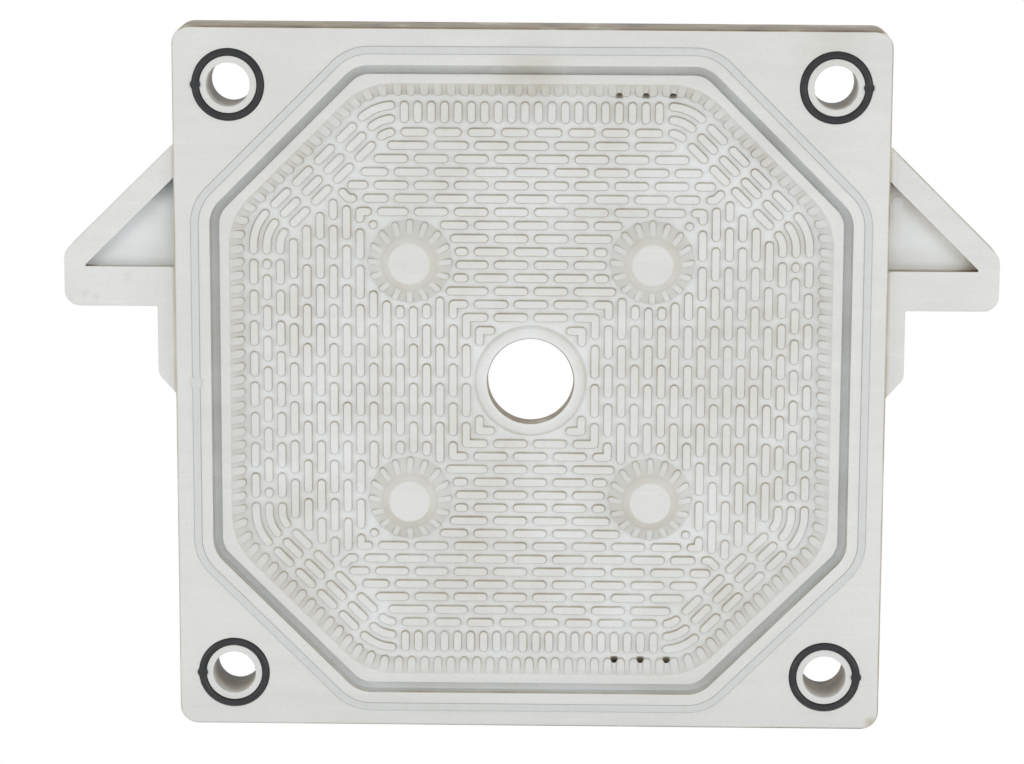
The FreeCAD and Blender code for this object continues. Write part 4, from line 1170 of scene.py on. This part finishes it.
def moulded_polypropylene():
    """White polypropylene (PP), compression moulded in one shot, its sealing faces milled flat.

    It gives the eye an even white with a grey cast and a half matt skin that hardly mirrors. Filtrate
    leaves a brown film where it stands and dries. Shade is painted into the colour as well: grey to
    brown in holes, creases, grooves and on edges, cool grey in some grooves and corners, and a lighter
    skin deep in the recess.
    """
    material, tree = new_material("moulded_polypropylene")
    place = add_node(tree, "ShaderNodeTexCoord", output="Object")
    pattern = {}
    for name, (scale, stretch, none, full, detail) in SKIN_PATTERNS.items():
        stretched = add_node(tree, "ShaderNodeMapping", {"Vector": place, "Scale": stretch})
        noise = add_node(
            tree, "ShaderNodeTexNoise", {"Vector": stretched, "Scale": scale, "Detail": detail}
        )
        levels = {"Value": noise, "From Min": none, "From Max": full}
        pattern[name] = add_node(tree, "ShaderNodeMapRange", levels)
    # The same on both faces, at the top and bottom and to the left and right.
    aside, height, up = [
        add_node(tree, "ShaderNodeMath", {0: part}, operation="ABSOLUTE")
        for part in add_node(tree, "ShaderNodeSeparateXYZ", {0: place}).node.outputs
    ]
    # Painted light: the skin deep in the recess is lighter, to make up for its shade.
    levels = {"Value": height, "From Min": DEEP * MILLIMETRE, "From Max": LAND * MILLIMETRE}
    near_face = add_node(tree, "ShaderNodeMapRange", levels)
    tones = {0: near_face, 6: hex_colour("#E4E7E8"), 7: hex_colour("#DBDCDA")}
    colour = add_node(tree, "ShaderNodeMix", tones, 2, data_type="RGBA")
    for name, share, code in (
        ("clouds", 0.6, "#D2D3CF"),
        ("wiped", 0.25, "#C9C9C4"),
        ("scratches", 0.1, "#F1F1EE"),
        ("speckle", 0.3, "#BDBBB3"),
    ):
        factor = add_node(tree, "ShaderNodeMath", {0: pattern[name], 1: share}, operation="MULTIPLY")
        colour = add_node(
            tree, "ShaderNodeMix", {0: factor, 6: colour, 7: hex_colour(code)}, 2, data_type="RGBA"
        )
    shade_and_film = add_node(tree, "ShaderNodeAttribute", output="Fac", attribute_name="shade_and_film")
    # Stains, and painted shade in the corners of the handle pockets.
    for x, z, radius, strength, end in STAINS_AND_CORNER_SHADE:
        centre = (x * MILLIMETRE, -HANDLE_FACE * MILLIMETRE, z * MILLIMETRE)
        away = add_node(
            tree, "ShaderNodeVectorMath", {0: place, 1: centre}, "Value", operation="DISTANCE"
        )
        levels = {"Value": away, "From Min": 0, "From Max": radius * MILLIMETRE}
        levels.update({"To Min": strength, "To Max": 0})
        spot = add_node(tree, "ShaderNodeMapRange", levels)
        below = {0: height, 1: end * MILLIMETRE}
        below = add_node(tree, "ShaderNodeMath", below, operation="LESS_THAN")
        shade_and_film = {0: spot, 1: below, 2: shade_and_film}
        shade_and_film = add_node(tree, "ShaderNodeMath", shade_and_film, operation="MULTIPLY_ADD")
    # What lies behind the surface of the sloping wall, near the middle of a side, is inside a drain and
    # gets painted shade.
    run = (EDGE_INSET - FOOT_INSET) / (LAND - FLOOR)
    foot = (SIDE_FOOT + run * FLOOR) * MILLIMETRE
    behind = add_node(tree, "ShaderNodeMath", {0: height, 1: run, 2: up}, operation="MULTIPLY_ADD")
    levels = {"Value": behind, "From Min": foot, "From Max": foot + DRAIN_FADE * MILLIMETRE}
    inside = add_node(tree, "ShaderNodeMapRange", {**levels, "To Max": DRAIN_SHADE})
    for distance, limit in ((aside, 2 * DRAIN_PLACES[0]), (up, HALF - EDGE_INSET)):
        near = {0: distance, 1: limit * MILLIMETRE}
        near = add_node(tree, "ShaderNodeMath", near, operation="LESS_THAN")
        inside = add_node(tree, "ShaderNodeMath", {0: inside, 1: near}, operation="MULTIPLY")
    shade_and_film = add_node(tree, "ShaderNodeMath", {0: shade_and_film, 1: inside}, operation="ADD")
    # The painted shade and film vary from 0.7 to 1.7 times their strength.
    patchy = add_node(tree, "ShaderNodeMath", {0: pattern["uneven"], 1: 0.7}, operation="ADD")
    shade_and_film_share = add_node(tree, "ShaderNodeMath", {0: shade_and_film, 1: patchy}, operation="MULTIPLY")
    # Painted shade and film darken the colour in stages, and turn it cool grey below zero.
    for step, gain, code in SHADE_AND_FILM_STAGES:
        beyond = add_node(tree, "ShaderNodeMath", {0: shade_and_film_share, 1: step}, operation="SUBTRACT")
        factor = {0: beyond, 1: gain}
        factor = add_node(tree, "ShaderNodeMath", factor, operation="MULTIPLY", use_clamp=True)
        colour = add_node(
            tree, "ShaderNodeMix", {0: factor, 6: colour, 7: hex_colour(code)}, 2, data_type="RGBA"
        )
    # The skin's grain is two tenths of a millimetre deep.
    grain = {"Height": pattern["fine"], "Strength": 0.25, "Distance": 0.2 * MILLIMETRE}
    bump = add_node(tree, "ShaderNodeBump", grain)
    skin = {"Base Color": colour, "Roughness": 0.5, "Normal": bump}
    add_node(
        tree, "ShaderNodeOutputMaterial", {"Surface": add_node(tree, "ShaderNodeBsdfPrincipled", skin)}
    )
    return material


def rubber(name, code, roughness, specular, dust, dust_share):
    """Rubber of one tone with a little pale dust in patches about 10 mm wide."""
    material, tree = new_material(name)
    place = add_node(tree, "ShaderNodeTexCoord", output="Object")
    noise = add_node(tree, "ShaderNodeTexNoise", {"Vector": place, "Scale": 90, "Detail": 3.0})
    levels = {"Value": noise, "From Min": 0.5, "From Max": 0.75, "To Min": 0, "To Max": dust_share}
    factor = add_node(tree, "ShaderNodeMapRange", levels)
    tones = {0: factor, 6: hex_colour(code), 7: hex_colour(dust)}
    colour = add_node(tree, "ShaderNodeMix", tones, 2, data_type="RGBA")
    skin = {"Base Color": colour, "Roughness": roughness, "Specular IOR Level": specular}
    add_node(
        tree, "ShaderNodeOutputMaterial", {"Surface": add_node(tree, "ShaderNodeBsdfPrincipled", skin)}
    )
    return material


polypropylene = moulded_polypropylene()
# The rings are nitrile rubber, pressed in two-part moulds: black, with a soft gleam along the cord. The
# strip is light grey rubber, extruded and welded into a ring: matt, hardly darker than the plastic.
ring_rubber = rubber("ring_rubber", "#15171C", 0.34, 0.5, "#5A5A58", 0.12)
strip_rubber = rubber("strip_rubber", "#CED0CF", 0.5, 0.5, "#C0C1BF", 0.3)

plastic = ("polypropylene", polypropylene)
body = make_piece("plate_body", *plastic, plate_body(), replaces=("chamber_plate",))
cut(body, drain_cuts())
pips, bars, bosses = pip_field(), slope_bars(), stay_bosses()
for face, back in (("front", False), ("back", True)):
    make_piece(f"{face}_pips", *plastic, [(pips, back)])
    slope_piece = make_piece(f"{face}_slope_bars", *plastic, [(bars, back)])
    cut(slope_piece, drain_cuts())
    make_piece(f"{face}_stay_bosses", *plastic, [(bosses, back)])
for name, side in (("left", -1), ("right", 1)):
    make_piece(f"{name}_handle", *plastic, [(handle(side), False)])
for name, x_sign, y_sign in CORNER_NAMES:
    ring = [(o_ring(x_sign, y_sign), False)]
    make_piece(f"ring_{name}", "ring_rubber", ring_rubber, ring, replaces=(f"o_ring_{name}",))
strip = [(sealing_strip(), False)]
make_piece("strip", "strip_rubber", strip_rubber, strip, replaces=("sealing_strip",))

# The camera looks from a little above and is turned a hair, as in the photograph. Its place and its
# three directions are metres and unit vectors in the frame.
camera_data = bpy.data.cameras.new("camera")
camera_data.lens = 124.98
camera_data.sensor_width = 36.0
camera = bpy.data.objects.new("camera", camera_data)
bpy.context.scene.collection.objects.link(camera)
camera.location = (0.053, -3.966, 0.762)
right, up = (0.9998, 0.0194, 0.00367), (-0.0073, 0.18934, 0.98187)
back = (0.01837, -0.98177, 0.18944)
camera.rotation_mode = "QUATERNION"
camera.rotation_quaternion = Matrix((right, up, back)).transposed().to_quaternion()
bpy.context.scene.camera = camera

# The plate stands on a pale floor. Its lower edge is the lowest thing, so the floor lies there.
FLOOR_REACH, FLOOR_LEVEL = 30.0, -HALF * MILLIMETRE
floor_mesh = bpy.data.meshes.new("floor")
floor_corners = [(x * FLOOR_REACH, y * FLOOR_REACH, FLOOR_LEVEL) for x, y in SIGNS]
floor_mesh.from_pydata(floor_corners, [], [(0, 1, 2, 3)])
floor = bpy.data.objects.new("floor", floor_mesh)
bpy.context.scene.collection.objects.link(floor)


def seen_as_white(tree, lighting, glow):
    """The white glow for the camera, mirrors and clear things, and the given shader for the light."""
    path = add_node(tree, "ShaderNodeLightPath").node.outputs
    seen = path["Is Camera Ray"]
    for ray in ("Is Glossy Ray", "Is Transmission Ray"):
        seen = add_node(tree, "ShaderNodeMath", {0: seen, 1: path[ray]}, operation="MAXIMUM")
    return add_node(tree, "ShaderNodeMixShader", {0: seen, 1: lighting, 2: glow})


white, tree = new_material("pale_floor")
matt = add_node(tree, "ShaderNodeBsdfDiffuse", {"Color": (0.93, 0.93, 0.93, 1)})
glow = add_node(tree, "ShaderNodeEmission", {"Color": (1, 1, 1, 1)})
add_node(tree, "ShaderNodeOutputMaterial", {"Surface": seen_as_white(tree, matt, glow)})
floor.data.materials.append(white)

world = bpy.data.worlds.new("studio")
bpy.context.scene.world = world
world.use_nodes = True
tree = world.node_tree
tree.nodes.clear()
dome = add_node(tree, "ShaderNodeBackground", {"Color": (1, 1, 1, 1), "Strength": 0.86})
glow = add_node(tree, "ShaderNodeBackground", {"Color": (1, 1, 1, 1), "Strength": 1.0})
add_node(tree, "ShaderNodeOutputWorld", {"Surface": seen_as_white(tree, dome, glow)})


def soft_lamp(name, place, target, width, height, power):
    """A panel lamp at a place that looks at a target."""
    data = bpy.data.lights.new(name, "AREA")
    data.shape = "RECTANGLE"
    data.size, data.size_y = width, height
    data.energy = power
    lamp = bpy.data.objects.new(name, data)
    lamp.location = place
    lamp.rotation_mode = "QUATERNION"
    lamp.rotation_quaternion = (Vector(target) - Vector(place)).to_track_quat("-Z", "Y")
    bpy.context.scene.collection.objects.link(lamp)
    return lamp


# Two panels to the sides light the level grooves along their length and leave the upright ones dark.
soft_lamp("left_panel", (-2.6, -1.9, 0.3), (0, 0, -0.1), 0.9, 1.2, 8)
soft_lamp("right_panel", (2.6, -1.9, 0.3), (0, 0, -0.1), 0.9, 1.2, 10)
soft_lamp("low_panel", (0, -1.3, -0.3), (0, 0, 0), 1.2, 0.12, 1.5)

view = bpy.context.scene.view_settings
view.view_transform = "Standard"
